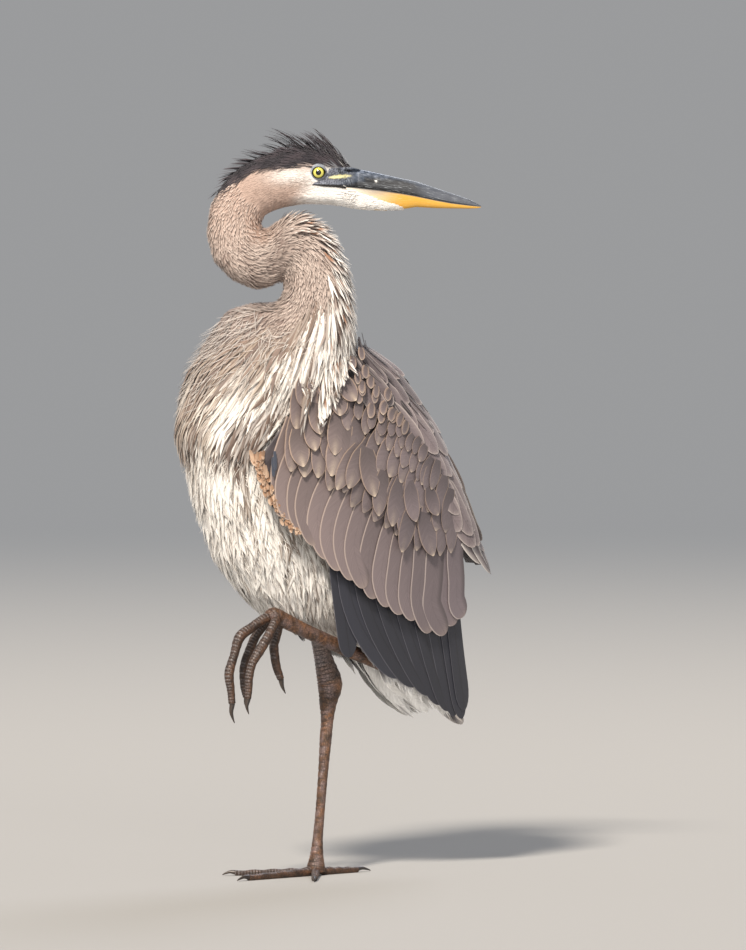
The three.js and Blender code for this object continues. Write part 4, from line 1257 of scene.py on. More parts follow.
def belly_plumage():
    def thighs(at):
        return ramp(275, 258, at.p[:, 2]) * ramp(72, 60, at.p[:, 1])

    def belly(at):
        low = ramp(455, 435, at.p[:, 2]) * ramp(95, 60, at.p[:, 1])
        return (1 - at.near) * low * (1 - thighs(at))

    def back(at):
        return (1 - at.near * (at.row < 20)) * ramp(20, 45, at.p[:, 1]) * ramp(250, 270, at.p[:, 2])

    def vent(at):
        return ramp(285, 262, at.p[:, 2]) * ramp(52, 66, at.p[:, 1])

    def edges(at):
        breast = 0.7 * ramp(425, 450, at.p[:, 2]) * ramp(30, 0, at.p[:, 1])
        return np.maximum(belly(at), breast * (at.row > 20))

    def belly_colour(at, n, rng):
        base = varied(markings(at), rng, 0.12)
        front = ramp(20, -40, at.p[:, 1])
        clump = speckle(at.p * [1, 1, 0.22], 17, 8)
        white = np.clip(0.5 + 0.8 * clump + 0.3 * front + rng.normal(0, 0.12, n), 0, 1)
        brown = np.clip(0.5 - 0.95 * clump - 0.15 * front + rng.normal(0, 0.12, n), 0, 0.95)
        pale = chosen("belly")
        return dict(base=mix(base, pale, white * 0.6), streak=(pale, white), streak_width=0.6,
                    edge=(BELLY_BROWN, brown), edge_from=0.35, tip=(pale, white * 0.7), tip_from=0.7,
                    root=(BELLY_BROWN, 0.5), root_to=0.5)

    def plain(at, n, rng):
        base = varied(markings(at), rng, 0.12)
        return dict(base=base, tip=(np.minimum(base * 1.25, 0.9), 0.5))

    def hair(at, n, rng):
        return dict(base=varied(mix(markings(at), chosen("belly"), 0.4), rng, 0.15))

    long = blades(6.6, belly, 51, chosen("belly_length"), 4.3, 1.5,
                  lambda at: np.interp(at.p[:, 2], [250, 300, 440], [5, 9, 9]),
                  6, VANED, lance(7, 0.08, 0.45), belly_colour, stray=0.17, ragged=0.25, power=1.2)
    fluff = blades(4.6, edges, 52, 20, 0.42, 3, 10, 5, [-1, 1], lance(6, 0.2, 0.3), hair, stray=0.4)
    behind = blades(8.0, back, 53, 30, 5, 0.5, 2.5, 4, VANED, oval(5), plain, stray=0.1)
    under = blades(6.0, vent, 54, 36, 4.5, 1.0, 4.0, 6, VANED, oval(7), plain, ragged=0.2)
    legs = blades(3.4, thighs, 55, 15, 1.5, 0.5, 2.5, 4, SLIM, lance(5, 0.2), plain, stray=0.2,
                  ragged=0.2)
    coat_piece("belly_plumes", [long, legs], "plume")
    coat_piece("belly_fluff", [fluff, behind, under, flank_cover()], "down")


def within_wing(lines):
    """Moves centre lines in towards the body where they would come out through the wings."""
    lines = np.array(lines)
    y, z = lines[..., 1], lines[..., 2]
    most = wing_out(y, z) - np.interp(y, [95, 118], [4.5, 8.5])
    lines[..., 0] = np.clip(lines[..., 0], -most + 4, most)
    return lines


def flank_cover():
    """Long white and slate feathers of the flanks that hang over the folded leg to the tail."""
    parts = []
    for side in (1, -1):
        rng = np.random.default_rng(57 + side)
        n, rows = 84, 8
        y = rng.uniform(2, 112, n)
        root = np.stack([side * (51 - 0.06 * (y - 14) + rng.uniform(-2, 2, n)), y,
                         261 - 0.18 * (y - 14) + rng.uniform(-4, 12, n)], -1)
        hang = [24, 42, 68, 80, 68] if side > 0 else [18, 24, 32, 50, 64]
        long = np.interp(y, [2, 20, 40, 60, 112], hang) * rng.uniform(0.85, 1.05, n)
        way = unit(np.stack([-side * 0.05 + 0 * y, 0.42 + 0.1 * rng.random(n), -0.9 + 0 * y], -1))
        s = np.linspace(0, 1, rows)[None, :, None]
        lines = root[:, None] + way[:, None] * s * long[:, None, None]
        lines[..., 0] -= side * 3 * s[..., 0] ** 2
        lines = within_wing(lines)
        up = unit(np.array([side * 1.0, -0.25, -0.15]))
        dark = (rng.random(n) < np.interp(y, [14, 60, 112], [0.9, 0.6, 0.1]))[:, None]
        base = varied(np.where(dark, TAIL_GREY, VENT_WHITE), rng, 0.07)
        colours = coloured(n, rows, VANED, base, root=(FLANK, 0.6), root_to=0.6,
                           tip=(VENT_WHITE, 0.7), tip_from=0.7)
        parts.append(loose(lines, up, 5.0, oval(rows, 0.3), VANED, colours, 58 + side, 0.2,
                           rng.normal(0, 0.15, n), 0.2, root))
    return together(parts)


# ---- wings and tail

COVERT_BUFF = tint("d6b9a0")
COVERT_CREAM = tint("f0dcc4")
QUILL_EDGE = tint("cfc2bd")
QUILL_BUFF = tint("a58f80")
PRIMARY_EDGE = tint("6b6a74")
SCAPULAR_GREY = tint("827679")
SCAPULAR_EDGE = tint("d9cdc6")
TERTIAL_WHITE = tint("ece5df")
# Dark slate of some quills, shafts and back feathers, and the painted shade of the sheet under each wing.
DARK_SLATE_AND_SHADE = tint("332e31")
ALULA_BLUE = tint("454b59")
WRIST_RUST = tint("9c7355")
TAIL_GREY = tint("5a565e")

WIDE = [-1, -0.92, -0.85, -0.45, -0.07, 0, 0.07, 0.45, 0.85, 0.92, 1]


def painted(base, vary, **parts):
    """Colours of blades from one base colour, varied by vary, with the parts that coloured() takes."""
    return lambda n, rows, across, rng: coloured(n, rows, across, varied(base, rng, vary, n), **parts)


def late(rows, power=1.6):
    """Row shares along a feather, closer together near the tip."""
    return 1 - (1 - np.linspace(0, 1, rows)) ** power


def rounded(shares, start=0.8, tip=0.12, root=0.6, point=0.5):
    """A flight feather's outline: even sides, and a tip that is rounder the lower point is."""
    end = np.clip((shares - start) / (1 - start), 0, 1)
    return np.maximum(np.clip(1 - end ** 2.2, 0, 1) ** point, tip) * (
        root + (1 - root) * np.clip(shares / 0.3, 0, 1))


def straight(root, tip, rows, bow=0.0):
    """Centre lines on the wing from (Y, Z) roots to tips, bowed sideways by bow mm."""
    s = late(rows)
    root, tip = np.asarray(root, float), np.asarray(tip, float)
    way = unit(tip - root)
    aside = np.stack([way[:, 1], -way[:, 0]], -1)
    swing = np.sin(math.pi * s)[None] * np.broadcast_to(bow, (len(root),))[:, None]
    return root[:, None] + (tip - root)[:, None] * s[None, :, None] + aside[:, None] * swing[..., None]


def wing_blades(flat, half, lift, seed, colour, start=0.8, roll=-0.1, camber=0.08, across=WIDE,
                tip_width=0.12, neck=0.6, point=0.5):
    """Feathers on the wing's surface along (Y, Z) centre lines. Lift is (root, tip) in mm."""
    rng = np.random.default_rng(seed)
    n, rows = flat.shape[:2]
    s = late(rows)
    low, high = (np.broadcast_to(value, (n,))[:, None] for value in lift)
    lines, ups = wing_place(flat[..., 0], flat[..., 1],
                            low + (high - low) * s + rng.uniform(-0.4, 0.4, (n, 1)))
    colours = colour(n, rows, across, rng)
    return vanes(lines, ups, half, rounded(s, start, tip_width, neck, point), across, colours, seed,
                 camber, np.broadcast_to(roll, (n,)) + rng.normal(0, 0.03, n), 0.0, cell=cells_for(n))


def secondaries(first=0):
    edges = np.array(SECONDARIES[first:], float).reshape(-1, 4, 2)
    n, rows = len(edges), 18
    roots = edges[:, :1] + (edges[:, :1] - edges[:, 1:2]) * 1.0 + np.array([10, 6])
    edges = np.concatenate([roots, edges], 1)
    flat = np.stack([between(edge, late(rows) * 4) for edge in edges])
    flow = unit(np.gradient(flat, axis=1))
    flat = flat + np.stack([-flow[..., 1], flow[..., 0]], -1) * 10.5

    def colour(n, rows, across, rng):
        front = np.linspace(1, 0, n)
        base = varied(mix(chosen("quill"), QUILL_BUFF, front * 0.3), rng, 0.11)
        # The darker root is painted shade where the coverts lie over the quill.
        whole = coloured(n, rows, across, base, root=(base * 0.6, 0.6), root_to=0.6, tip_from=0.75,
                         tip=(mix(QUILL_BUFF, QUILL_EDGE, 0.3), 0.3 + 0.4 * front),
                         shaft=(base * 0.8, 0.6), shaft_width=0.04)
        pale = mix(QUILL_EDGE, COVERT_BUFF, 0.6 * front)[:, None, None]
        whole[:, :, 0:2] = mix(whole[:, :, 0:2], np.broadcast_to(pale, whole[:, :, 0:2].shape), 0.6)
        # Painted shadow: the back side of each quill, where the next one's front edge lies over it, is
        # darkened.
        whole[:, :, 8:] = whole[:, :, 8:] * 0.62
        return whole
    lift = (np.linspace(2.6, 4.4, n), np.linspace(3.2, 5.2, n))
    return wing_blades(flat, 12.8, lift, 61, colour, start=0.8, roll=-0.04, camber=0.02, neck=1.0)


def primaries(first=0):
    table = np.array(PRIMARIES[first:], float)
    n = len(table)

    def colour(n, rows, across, rng):
        base = varied(chosen("primary"), rng, 0.15, n)
        whole = coloured(n, rows, across, base, shaft=(base * 0.5, 0.9), shaft_width=0.05)
        whole[:, :, :1] = PRIMARY_EDGE
        return whole
    lift = (np.linspace(-4.5, -0.5, n), np.linspace(-3.6, 0.5, n))
    bow = np.array([2, 22, 17, 13, 10, 8, 6, 5, 4])[first:]
    half = np.array([12.3, 13, 12, 11, 10.5, 10.5, 10.5, 10.5, 10.5])[first:]
    return wing_blades(straight(table[:, 0:2], table[:, 2:4], 16, bow), half, lift, 62, colour,
                       start=0.82, roll=-0.04, camber=0.04, neck=0.8)


COVERT_BANDS = [  # how far up from the hem, length, half width and gap of each row of coverts
    (0, 60, 11.5, 16.5), (22, 46, 11, 16), (44, 42, 10, 15), (64, 32, 8, 12), (80, 20, 5.6, 8.6),
    (90, 16, 5, 7.8), (99, 15, 4.8, 7.4), (108, 14, 4.6, 7), (117, 14, 4.6, 7), (126, 14, 4.6, 7),
    (135, 14, 4.6, 7), (144, 14, 4.6, 7),
]


def covert_colour(big, front, wedges=0.5):
    """Greyish taupe with buff edges, and on the larger ones a cream wedge at the tip."""
    def colour(n, rows, across, rng):
        base = varied(mix(chosen("covert"), COVERT_BUFF, 0.12 * front), rng, 0.12)
        wedge = np.clip(rng.normal(wedges, 0.28, n), 0, 1)
        # The darker root is painted shade where the row above lies over it.
        whole = coloured(n, rows, across, base, root=(base * 0.5, 0.85), root_to=0.6,
                         edge=(COVERT_BUFF, 0.4 + 0.3 * front), edge_from=0.84 if big else 0.6,
                         tip=(COVERT_CREAM, 0.3 + 0.5 * wedge), tip_from=0.8 if big else 0.6,
                         shaft=(base * 0.75, 0.5), shaft_width=0.04)
        v = np.linspace(0, 1, rows)[None, :, None]
        spot = (wedge * (0.25 + 0.75 * front ** 0.6))[:, None, None] * ramp(0.35, 0.95, v)
        spot = spot * bell(np.array(across)[None, None, :], 0.1 + 0.5 * v)
        return mix(whole, np.broadcast_to(COVERT_CREAM, whole.shape), (0.6 if big else 0.2) * spot)
    return colour


def covert_rows(first=1.2, large=True):
    """Overlapping rows of coverts, large over the secondaries and small at the shoulder."""
    parts = []
    fine = between(ARM_ROWS, np.linspace(first, 9, 400))
    run = np.concatenate([[0], np.cumsum(np.linalg.norm(np.diff(fine[:, 2:4], axis=0), axis=1))])
    for number, (offset, length, half, gap) in enumerate(COVERT_BANDS):
        places = np.arange(gap * (0.3 + 0.5 * (number % 2)), run[-1], gap)
        c = np.interp(places, run, np.linspace(first, 9, 400))
        rows = between(ARM_ROWS, c)
        root, hem = rows[:, 0:2], rows[:, 2:4]
        room = np.linalg.norm(root - hem, axis=1)
        keep = room > offset - 2
        root, hem, room, c = root[keep], hem[keep], room[keep], c[keep]
        if not len(root):
            continue
        rng = np.random.default_rng(700 + number)
        way = unit(root - hem)
        way = unit(way + np.stack([0.25 * ramp(-60, -20, hem[:, 0]) * ramp(60, 20, hem[:, 0]),
                                   0 * c], -1))
        tip = hem + way * (offset + rng.uniform(-5.5, 5.5, len(hem)))[:, None]
        big = offset < 85
        front = np.clip(1 - c / 6, 0, 1)
        parts.append(wing_blades(
            straight(tip + way * length, tip, 10 if big else 7, rng.uniform(-1, 2, len(hem))),
            half * np.clip(0.78 + room / 280, 0.8, 1.1) * rng.uniform(0.9, 1.1, len(hem)),
            (4.6 + 0.5 * number, 7.2 + 0.5 * number), 701 + number, covert_colour(big, front),
            start=0.52, camber=0.05, roll=-0.12, across=WIDE if big else VANED, tip_width=0.1,
            point=0.72))
    if not large:
        return parts
    table = np.array(LARGE_COVERTS, float)
    table = table[np.argsort(-table[:, 3], kind="stable")[::-1]]
    front = np.clip((60 - table[:, 0]) / 110, 0, 1)
    rise = np.linspace(0, 2.0, len(table))
    parts.append(wing_blades(straight(table[:, 0:2], table[:, 2:4], 14, 1.5), table[:, 4],
                             (7.0 + rise, 10.0 + rise), 740, covert_colour(True, front, 0.9),
                             start=0.5, camber=0.04, roll=-0.1, tip_width=0.1, point=0.72))
    return parts


def wrist():
    """Rusty scaly leading edge and the blue-slate thumb feather."""
    rng = np.random.default_rng(71)
    n = 120
    edge = between(WRIST, rng.uniform(0, 5, n))
    tip = edge + np.stack([rng.uniform(-1, 10, n), rng.uniform(-2, 3, n)], -1)
    root = tip + np.array([1, 8]) + rng.normal(0, 2.5, (n, 2))

    def rusty(n, rows, across, rng):
        base = varied(mix(WRIST_RUST, COVERT_BUFF, rng.random(n) * 0.9), rng, 0.2)
        return coloured(n, rows, across, base, tip=(CREAM, 0.3), tip_from=0.7,
                        root=(PLUME_DARK, 0.5), root_to=0.4)

    def blue(n, rows, across, rng):
        return coloured(n, rows, across, ALULA_BLUE, edge=(TERTIAL_WHITE, 0.15), edge_from=0.9)
    small = wing_blades(straight(root, tip, 6), 2.3, (1.0, 4.6), 72, rusty, start=0.3, across=VANED,
                        tip_width=0.08)
    alula = wing_blades(straight([[-106, 446], [-108, 440]], [[-106, 426], [-108, 420]], 10), 2.2,
                        (5, 6.5), 73, blue, start=0.7)
    return [small, alula]


def roof_blades(height, turn, drop, sweep, half, lift, seed, colour, rows=12, start=0.7,
                camber=0.12, roll=0.0, across=WIDE, tip_width=0.15, root=0.6):
    """Feathers on the back's roof, from (height, turn) roots, going down by drop mm of height."""
    n = len(height)
    s = late(rows, 1.4)
    high = height[:, None] - np.broadcast_to(drop, (n,))[:, None] * s[None]
    turns = turn[:, None] + np.broadcast_to(sweep, (n,))[:, None] * s[None]
    rng = np.random.default_rng(seed)
    up_by = lift[0] + (lift[1] - lift[0]) * s[None] ** 1.2 + rng.uniform(-0.8, 0.8, (n, 1))
    lines, ups = roof_place(high, turns, up_by)
    colours = colour(n, rows, across, rng)
    return vanes(lines, ups, half, rounded(s, start, tip_width, root), across, colours, seed, camber,
                 np.broadcast_to(roll, (n,)) + rng.normal(0, 0.06, n), 0.0, cell=cells_for(n))


def scapulars():
    parts = []
    rows_down = [(556, 34, 8, 5), (538, 40, 9.5, 5), (518, 48, 11.5, 5), (496, 54, 13, 6),
                 (472, 60, 14, 6), (448, 64, 14, 6), (424, 64, 14, 6), (402, 62, 13.5, 6)]
    for number, (height, drop, half, count) in enumerate(rows_down):
        rng = np.random.default_rng(800 + number)
        turn = (np.arange(count) + 0.2 + 0.5 * (number % 2)) / count
        high = height + rng.uniform(-7, 7, count) - 10 * turn
        # The darker roots are painted shade where the row above lies over them.
        colour = painted(mix(SCAPULAR_GREY, DARK_SLATE_AND_SHADE, 0.3 if number < 2 else 0.0), 0.12,
                         root=(0.6, 0.7), root_to=0.6, edge=(SCAPULAR_EDGE, 0.6), edge_from=0.78,
                         tip=(SCAPULAR_EDGE, 0.5), tip_from=0.85, shaft=(0.65, 0.8),
                         shaft_width=0.06)
        parts.append(roof_blades(high, turn, drop, rng.uniform(-0.03, 0.03, count),
                                 half * rng.uniform(0.92, 1.08, count), (1.5, 6.0), 801 + number,
                                 colour, rows=12, start=0.58, roll=0.08))
    return parts


def shoulder_spikes():
    """Dark loose feathers, half in shade, where the neck's plumes meet the scapulars."""
    rng = np.random.default_rng(88)
    n = 30
    height = rng.uniform(490, 568, n)
    turn = np.clip(rng.beta(1.1, 2.5, n), 0, 1)

    def colour(n, rows, across, rng):
        base = varied(mix(DARK_SLATE_AND_SHADE, SCAPULAR_GREY, rng.random(n) * 0.6), rng, 0.2)
        return coloured(n, rows, across, base, shaft=(SCAPULAR_EDGE, 0.4 * rng.random(n)),
                        shaft_width=0.2)
    return roof_blades(height, turn, rng.uniform(24, 42, n), rng.uniform(-0.08, 0.08, n),
                       rng.uniform(1.6, 3.4, n), (2, 6.5), 89, colour, rows=8, start=0.1,
                       across=VANED, tip_width=0.05)


def tertials():
    turn = np.array([0.1, 0.27, 0.44, 0.62, 0.8, 0.97])
    height = np.array([432, 428, 425, 424, 424, 424.0])
    drop = np.array([108, 116, 116, 108, 104, 100.0])
    colour = painted(mix(SCAPULAR_GREY, DARK_SLATE_AND_SHADE, 0.35), 0.08, edge=(TERTIAL_WHITE, 0.85),
                     edge_from=0.72, tip=(TERTIAL_WHITE, 0.5), tip_from=0.9, shaft=(DARK_SLATE_AND_SHADE, 0.7),
                     shaft_width=0.12)
    return roof_blades(height, turn, drop, np.array([0.05, 0.04, 0.02, 0, 0, 0]), 13.5, (1.0, 3.0),
                       91, colour, rows=16, start=0.72, tip_width=0.12)


def wing_painted_shade_bed(side):
    """A dark sheet under the wing's feathers: painted shade that shows in the gaps between them."""
    outer, _ = wing_sheet(-0.8, 0.0 if side == "left" else RIGHT_FROM, 0.9)
    roof, _ = roof_sheet(-1.5)
    points = np.concatenate([outer.reshape(-1, 3), roof.reshape(-1, 3)])
    faces = np.concatenate([grid_faces(*outer.shape[:2]),
                            grid_faces(*roof.shape[:2]) + outer.size // 3])
    if side == "right":
        points, faces = to_right(points), faces[:, ::-1]
    # Painted shade: mostly dark, so that the gaps between the feathers read as shadow.
    grey = mix(DARK_SLATE_AND_SHADE, chosen("covert"), 0.25 + 0.15 * speckle(points, 12, 9))
    halves = [np.meshgrid(np.linspace(low, low + 0.48, sheet.shape[1]),
                          np.linspace(0, 1, sheet.shape[0]))
              for low, sheet in ((0, outer), (0.52, roof))]
    uv = np.concatenate([np.stack(half, -1).reshape(-1, 2) for half in halves])
    made = mesh_of(side + "_wing_painted_shade_bed", points, faces, grey, {"OFBake": uv, "Vane": uv})
    settle(made, ("SOLIDIFY", {"thickness": 1.2 * MM, "offset": -1.0}))
    finished(made, "covert")


def build_wing(side):
    """One folded wing. The right wing's front edge is tucked under the breast's plumes."""
    left = side == "left"
    wing_painted_shade_bed(side)
    rows = covert_rows() + wrist() if left else covert_rows(1.6, False)
    for name, parts, finish, slot in (
            ("secondary_quills", secondaries(0 if left else 3), "quill", "secondary_feathers"),
            ("primary_quills", primaries(0 if left else 2), "quill", "primary_feathers"),
            ("coverts", sharing(rows), "covert", "covert_feathers"),
            ("scapulars", sharing(scapulars() + [shoulder_spikes()]), "covert", "covert_feathers"),
            ("tertials", tertials(), "quill", "covert_feathers")):
        node = {"secondary_quills": "secondaries", "primary_quills": "primaries"}.get(name, name)
        coat_piece(f"{side}_{name}", for_side(parts, side), finish, [f"{side}_wing_{node}"])


def sharing(parts):
    """Joins rows of feathers, each with its own strip of the bake map."""
    strips = [part | {"OFBake": part["OFBake"] * [1, 1 / len(parts)] + [0, number / len(parts)]}
              for number, part in enumerate(parts)]
    return together(strips)


TAIL_ROWS = [[100, 262, 18], [122, 232, 21], [144, 204, 21], [164, 175, 19], [183, 150, 16]]


def tail_quills():
    """The tail's fan of quills, the outer ones edged with white."""
    n, rows = 11, 14
    s = late(rows, 1.3)
    line = between(TAIL_ROWS, s * 4)
    aside = np.linspace(-1, 1, n)
    order = 1 - np.abs(aside)
    reach = 1 - 0.06 * aside ** 2
    lines = np.zeros((n, rows, 3))
    for i in range(n):
        here = between(TAIL_ROWS, s * 4 * reach[i])
        lines[i, :, 0] = aside[i] * np.maximum(here[:, 2] - 6, 2)
        lines[i, :, 1] = here[:, 0] + 1.2 * order[i]
        lines[i, :, 2] = here[:, 1] + 0.9 * order[i]
    flow = unit(np.gradient(line[:, :2], axis=0))
    up = np.stack([np.zeros(rows), -flow[:, 1], flow[:, 0]], -1)
    rng = np.random.default_rng(95)
    base = varied(TAIL_GREY, rng, 0.1, n)
    colours = coloured(n, rows, WIDE, base, tip=(TERTIAL_WHITE, 0.5 + 0.4 * np.abs(aside)),
                       tip_from=0.86, shaft=(DARK_SLATE_AND_SHADE, 0.7), shaft_width=0.06)
    colours[0, :, :4] = TERTIAL_WHITE
    colours[-1, :, 5:] = TERTIAL_WHITE
    return vanes(lines, np.broadcast_to(up, lines.shape), 7.5, rounded(s, 0.84), WIDE, colours, 95,
                 0.06, -0.12 * np.sign(aside), 0.0, cell=cells_for(n))


def tail_down():
    """White feathers that lie along the underside of the quills."""
    n, rows = 90, 8
    rng = np.random.default_rng(97)
    start = rng.uniform(0.0, 0.45, n)
    long = rng.uniform(0.3, 0.42, n)
    across = rng.uniform(-1, 1, n)
    s = np.linspace(0, 1, rows)
    places = (start[:, None] + long[:, None] * s[None]) * 4
    here = between(TAIL_ROWS, places)
    lines = np.stack([across[:, None] * (here[..., 2] - 5), here[..., 0] - 5 - 2.5 * s[None],
                      here[..., 1] - 4 - 2.0 * s[None]], -1)
    colours = coloured(n, rows, VANED, varied(VENT_WHITE, rng, 0.05, n), streak=(TAIL_GREY, 0.1))
    return loose(lines, [0, -0.8, -0.6], 5.5, oval(rows), VANED, colours, 98, 0.2,
                 rng.normal(0, 0.15, n), 0.2)


def undertail():
    """Long loose white feathers that hang under the tail, in a bulge behind the folded leg."""
    rng = np.random.default_rng(99)
    n, rows = 110, 9
    lower = np.array([[70, 214], [86, 196], [100, 177], [116, 162], [133, 161]], float)
    place = rng.uniform(0, 4, n)
    tip = between(lower, place) + rng.uniform(0, 14, (n, 1)) * np.array([0.6, 0.8])
    root = tip + np.stack([-34 - 4 * place, 40 + 3 * place], -1) * rng.uniform(0.75, 1, (n, 1))
    aside = rng.uniform(-1, 1, n)
    s = np.linspace(0, 1, rows)[None, :]
    sag = np.sin(math.pi * s) * 5
    lines = np.stack([aside[:, None] * (30 - 14 * s), root[:, :1] + (tip - root)[:, :1] * s - sag,
                      root[:, 1:] + (tip - root)[:, 1:] * s - sag * 0.6], -1)
    lines = within_wing(lines)
    down = unit(np.stack([1.2 * aside, -0.6 + 0 * aside, -0.5 + 0 * aside], -1))
    base = varied(VENT_WHITE, rng, 0.05, n)
    colours = coloured(n, rows, VANED, base, root=(TAIL_GREY, 0.5), root_to=0.25,
                       streak=(TAIL_GREY, 0.7 * (rng.random(n) < 0.15)))
    return loose(lines, down[:, None], 5.2, oval(rows), VANED, colours, 100, 0.2,
                 rng.normal(0, 0.2, n), 0.2)


def build_tail():
    coat_piece("tail_quills", tail_quills(), "quill", ["tail"])
    coat_piece("undertail_down", [tail_down(), undertail()], "down")


# ---- bill and eyes

def bill_slate(ahead, share):
    """The upper bill's colour at a place X mm along it and share of its height up."""
    flecks = speckle(np.stack([ahead, share * 60, 0 * ahead], -1), 6, 19)
    slate = mix(tint("3d4757"), tint("474c57"), ramp(60, 140, ahead))
    # Pale blue flecks on the upper part, towards the base: painted sheen.
    slate = mix(slate, tint("8a95aa"), np.clip(flecks, 0, 1) * ramp(0.4, 0.8, share)
                * ramp(90, 50, ahead) * 0.6)
    band = np.interp(ahead, [34, 44, 60, 90, 118], [0.14, 0.3, 0.62, 0.85, 0.5])
    dark = ramp(band + 0.2, band - 0.1, share + 0.06 * flecks) * ramp(124, 96, ahead)
    slate = mix(slate, tint("121317"), dark * 0.93)
    # A pale band along the top: painted highlight.
    return mix(slate, tint("858b94"), ramp(0.8, 1, share) * ramp(50, 90, ahead) * 0.45)


def build_bill():
    """Both halves of the bill, with the nasal groove, the nostril and the cutting edges."""
    x = np.concatenate([np.linspace(28, 160, 100), np.linspace(161, 171, 14)])[:, None]
    _, top, mouth, low, half = between_x(BILL_ROWS, np.clip(x[:, 0], 34, 169.5)).T[:, :, None]
    shrink = np.sqrt(np.clip((171.2 - x) / 4, 0, 1))
    inside = 0.84 + 0.16 * ramp(29, 46, x)
    turn = np.linspace(0, math.pi, 25)[None]
    for name, slot, height, sign in (("bill_top", "upper_horn", top - mouth, 1),
                                     ("bill_under", "lower_horn", mouth - low, -1)):
        upper = sign > 0
        across = np.sign(np.cos(turn)) * np.abs(np.cos(turn)) ** (0.8 if upper else 0.75)
        share = np.sin(turn) ** (0.9 if upper else 1.15) + 0 * x
        ahead = x + 0 * share
        width = half * across * inside
        if upper:
            groove = bell(share - 0.62, 0.1) * ramp(112, 70, x)
            slit = bell(share - 0.56, 0.09) * bell(np.maximum(np.abs(x - 56) - 5, 0), 1.6)
            width = width * (1 - 0.10 * groove - 0.22 * slit)
            colours = mix(bill_slate(ahead, share), tint("101013"), slit * 0.95)
            colours = mix(colours, tint("121214"), ramp(0.2, 0.06, share) * 0.95)
        else:
            colours = mix(tint("f4ecd8"), tint("deaa42"), ramp(40, 92, ahead))
            colours = mix(colours, tint("c98f35"), ramp(0.35, 1, share) * ramp(80, 130, ahead) * 0.4)
            colours = mix(colours, tint("5e4a35"), ramp(0.1, 0.0, share) * 0.7)
            colours = mix(colours, tint("6b6a70"), bell(ahead - 60, 18) * ramp(0.35, 0.1, share) * 0.5)
        edge = 0.35 * sign
        outside = np.stack([ahead, width * shrink,
                            mouth + edge + sign * (height * share * inside) * shrink], -1)
        inner = np.stack(np.broadcast_arrays(
            x, half * inside * np.linspace(-0.9, 0.9, 5)[None] * shrink, mouth + edge * 0.4), -1)
        points = np.concatenate([outside, inner], 1)
        colours = np.concatenate([colours, np.broadcast_to(tint("3a302c"), inner.shape)], 1)
        columns = points.shape[1]
        uv = np.stack(np.broadcast_arrays((x - 28) / 143, np.linspace(0, 1, columns)), -1)
        faces = grid_faces(len(x), columns, closed=True)[:, ::sign]
        made = mesh_of(name, from_head(points), faces, colours, {"OFBake": uv, "Vane": uv})
        finished(made, slot, ["bill_upper" if upper else "bill_lower"])


LORE_LOW = [[-4, 718.8], [12, 718.2], [25, 717.6], [36, 716.8], [50, 715.8]]
LORE_HIGH = [[-4, 719.6], [0, 722.3], [3, 722.9], [6, 723.6], [9, 725.4], [10.6, 728], [11.4, 731.5],
             [12.5, 735.6], [16, 736.6], [36, 737.4], [44, 735.3], [50, 733]]


def build_lores():
    """Bare mottled skin that runs from the eye and the corner of the mouth on to the bill."""
    skin, bill = ground(), bpy.data.objects["bill_top"]
    places = to_head(skin.points)
    centre = places[skin.triangles].mean(1)
    near = (centre[:, 0] > -20) & (centre[:, 2] > 705)
    faces = skin.triangles[near].tolist()
    faces += [[v + len(places) for v in polygon.vertices] for polygon in bill.data.polygons]
    tree = BVHTree.FromPolygons(np.concatenate([places, to_head(places_of(bill))]).tolist(), faces)
    rows, columns = 26, 72
    share, x = np.meshgrid(np.linspace(0, 1, rows), np.linspace(-4, 46, columns), indexing="ij")
    low, high = (np.interp(x, *np.transpose(table)) for table in (LORE_LOW, LORE_HIGH))
    z = low + (high - low) * share
    edge = np.minimum(np.minimum(share, 1 - share) * (high - low) / 1.1,
                      np.minimum((x + 4) / 2, (46 - x) / 6))
    crease = 0.22 * speckle(np.stack([x, z * 1.8, 0 * z], -1), 3.4, 18)
    points, colours, whole, maps = [], [], [], []
    for number, side in enumerate((1, -1)):
        hits = [tree.ray_cast(Vector((a, side * 60, b)), Vector((0, -side, 0)))[0]
                for a, b in zip(x.flat, z.flat)]
        y = np.array([abs(hit.y) if hit else 9.0 for hit in hits]).reshape(z.shape)
        smooth = y
        for _ in range(14):
            ends = np.pad(smooth, ((0, 0), (1, 1)), mode="edge")
            smooth = np.maximum(y, (ends[:, 2:] + ends[:, :-2] + smooth) / 3)
        out = smooth + np.interp(edge, [0, 1], [-0.35, 0.5]) + crease * np.clip(edge, 0, 1)
        q = np.stack([x, side * out, z], -1)
        base = between_x(BILL_ROWS, x)
        up = np.clip((z - base[..., 2]) / (base[..., 1] - base[..., 2]), 0, 1)
        points.append(from_head(q))
        colours.append(mix(lore_colour(q), bill_slate(x, up), ramp(33, 42, x)))
        whole.append((grid_faces(rows, columns) + number * z.size)[:, ::-side])
        maps.append(np.stack([(x + 4) / 50 * 0.48 + 0.5 * number, share], -1))
    made = mesh_of("lores", np.concatenate(points), np.concatenate(whole),
                   np.concatenate(colours), {"OFBake": np.concatenate(maps)})
    finished(made, "skin")


def build_gape():
    """The dark seam of the mouth that runs back under the eye."""
    parts = []
    for side in (-1, 1):
        x = np.linspace(40, -3, 26)
        z = np.interp(x, [-3, 12, 25, 37, 40], [718.4, 717.7, 717.2, 716.3, 716.0])
        guess = np.stack([x, side * 22.0 + 0 * x, z], -1)
        near, up, _ = ground().nearest(from_head(guess))
        size = 1.05 * np.clip((x + 4) / 12, 0.15, 1)
        parts.append((near + up * 0.6, size))
    made = tubes("mouth_seam", parts, 8, lambda along, around, row: np.broadcast_to(
        tint("1d1918"), along.shape + (3,)))
    finished(made, "skin")


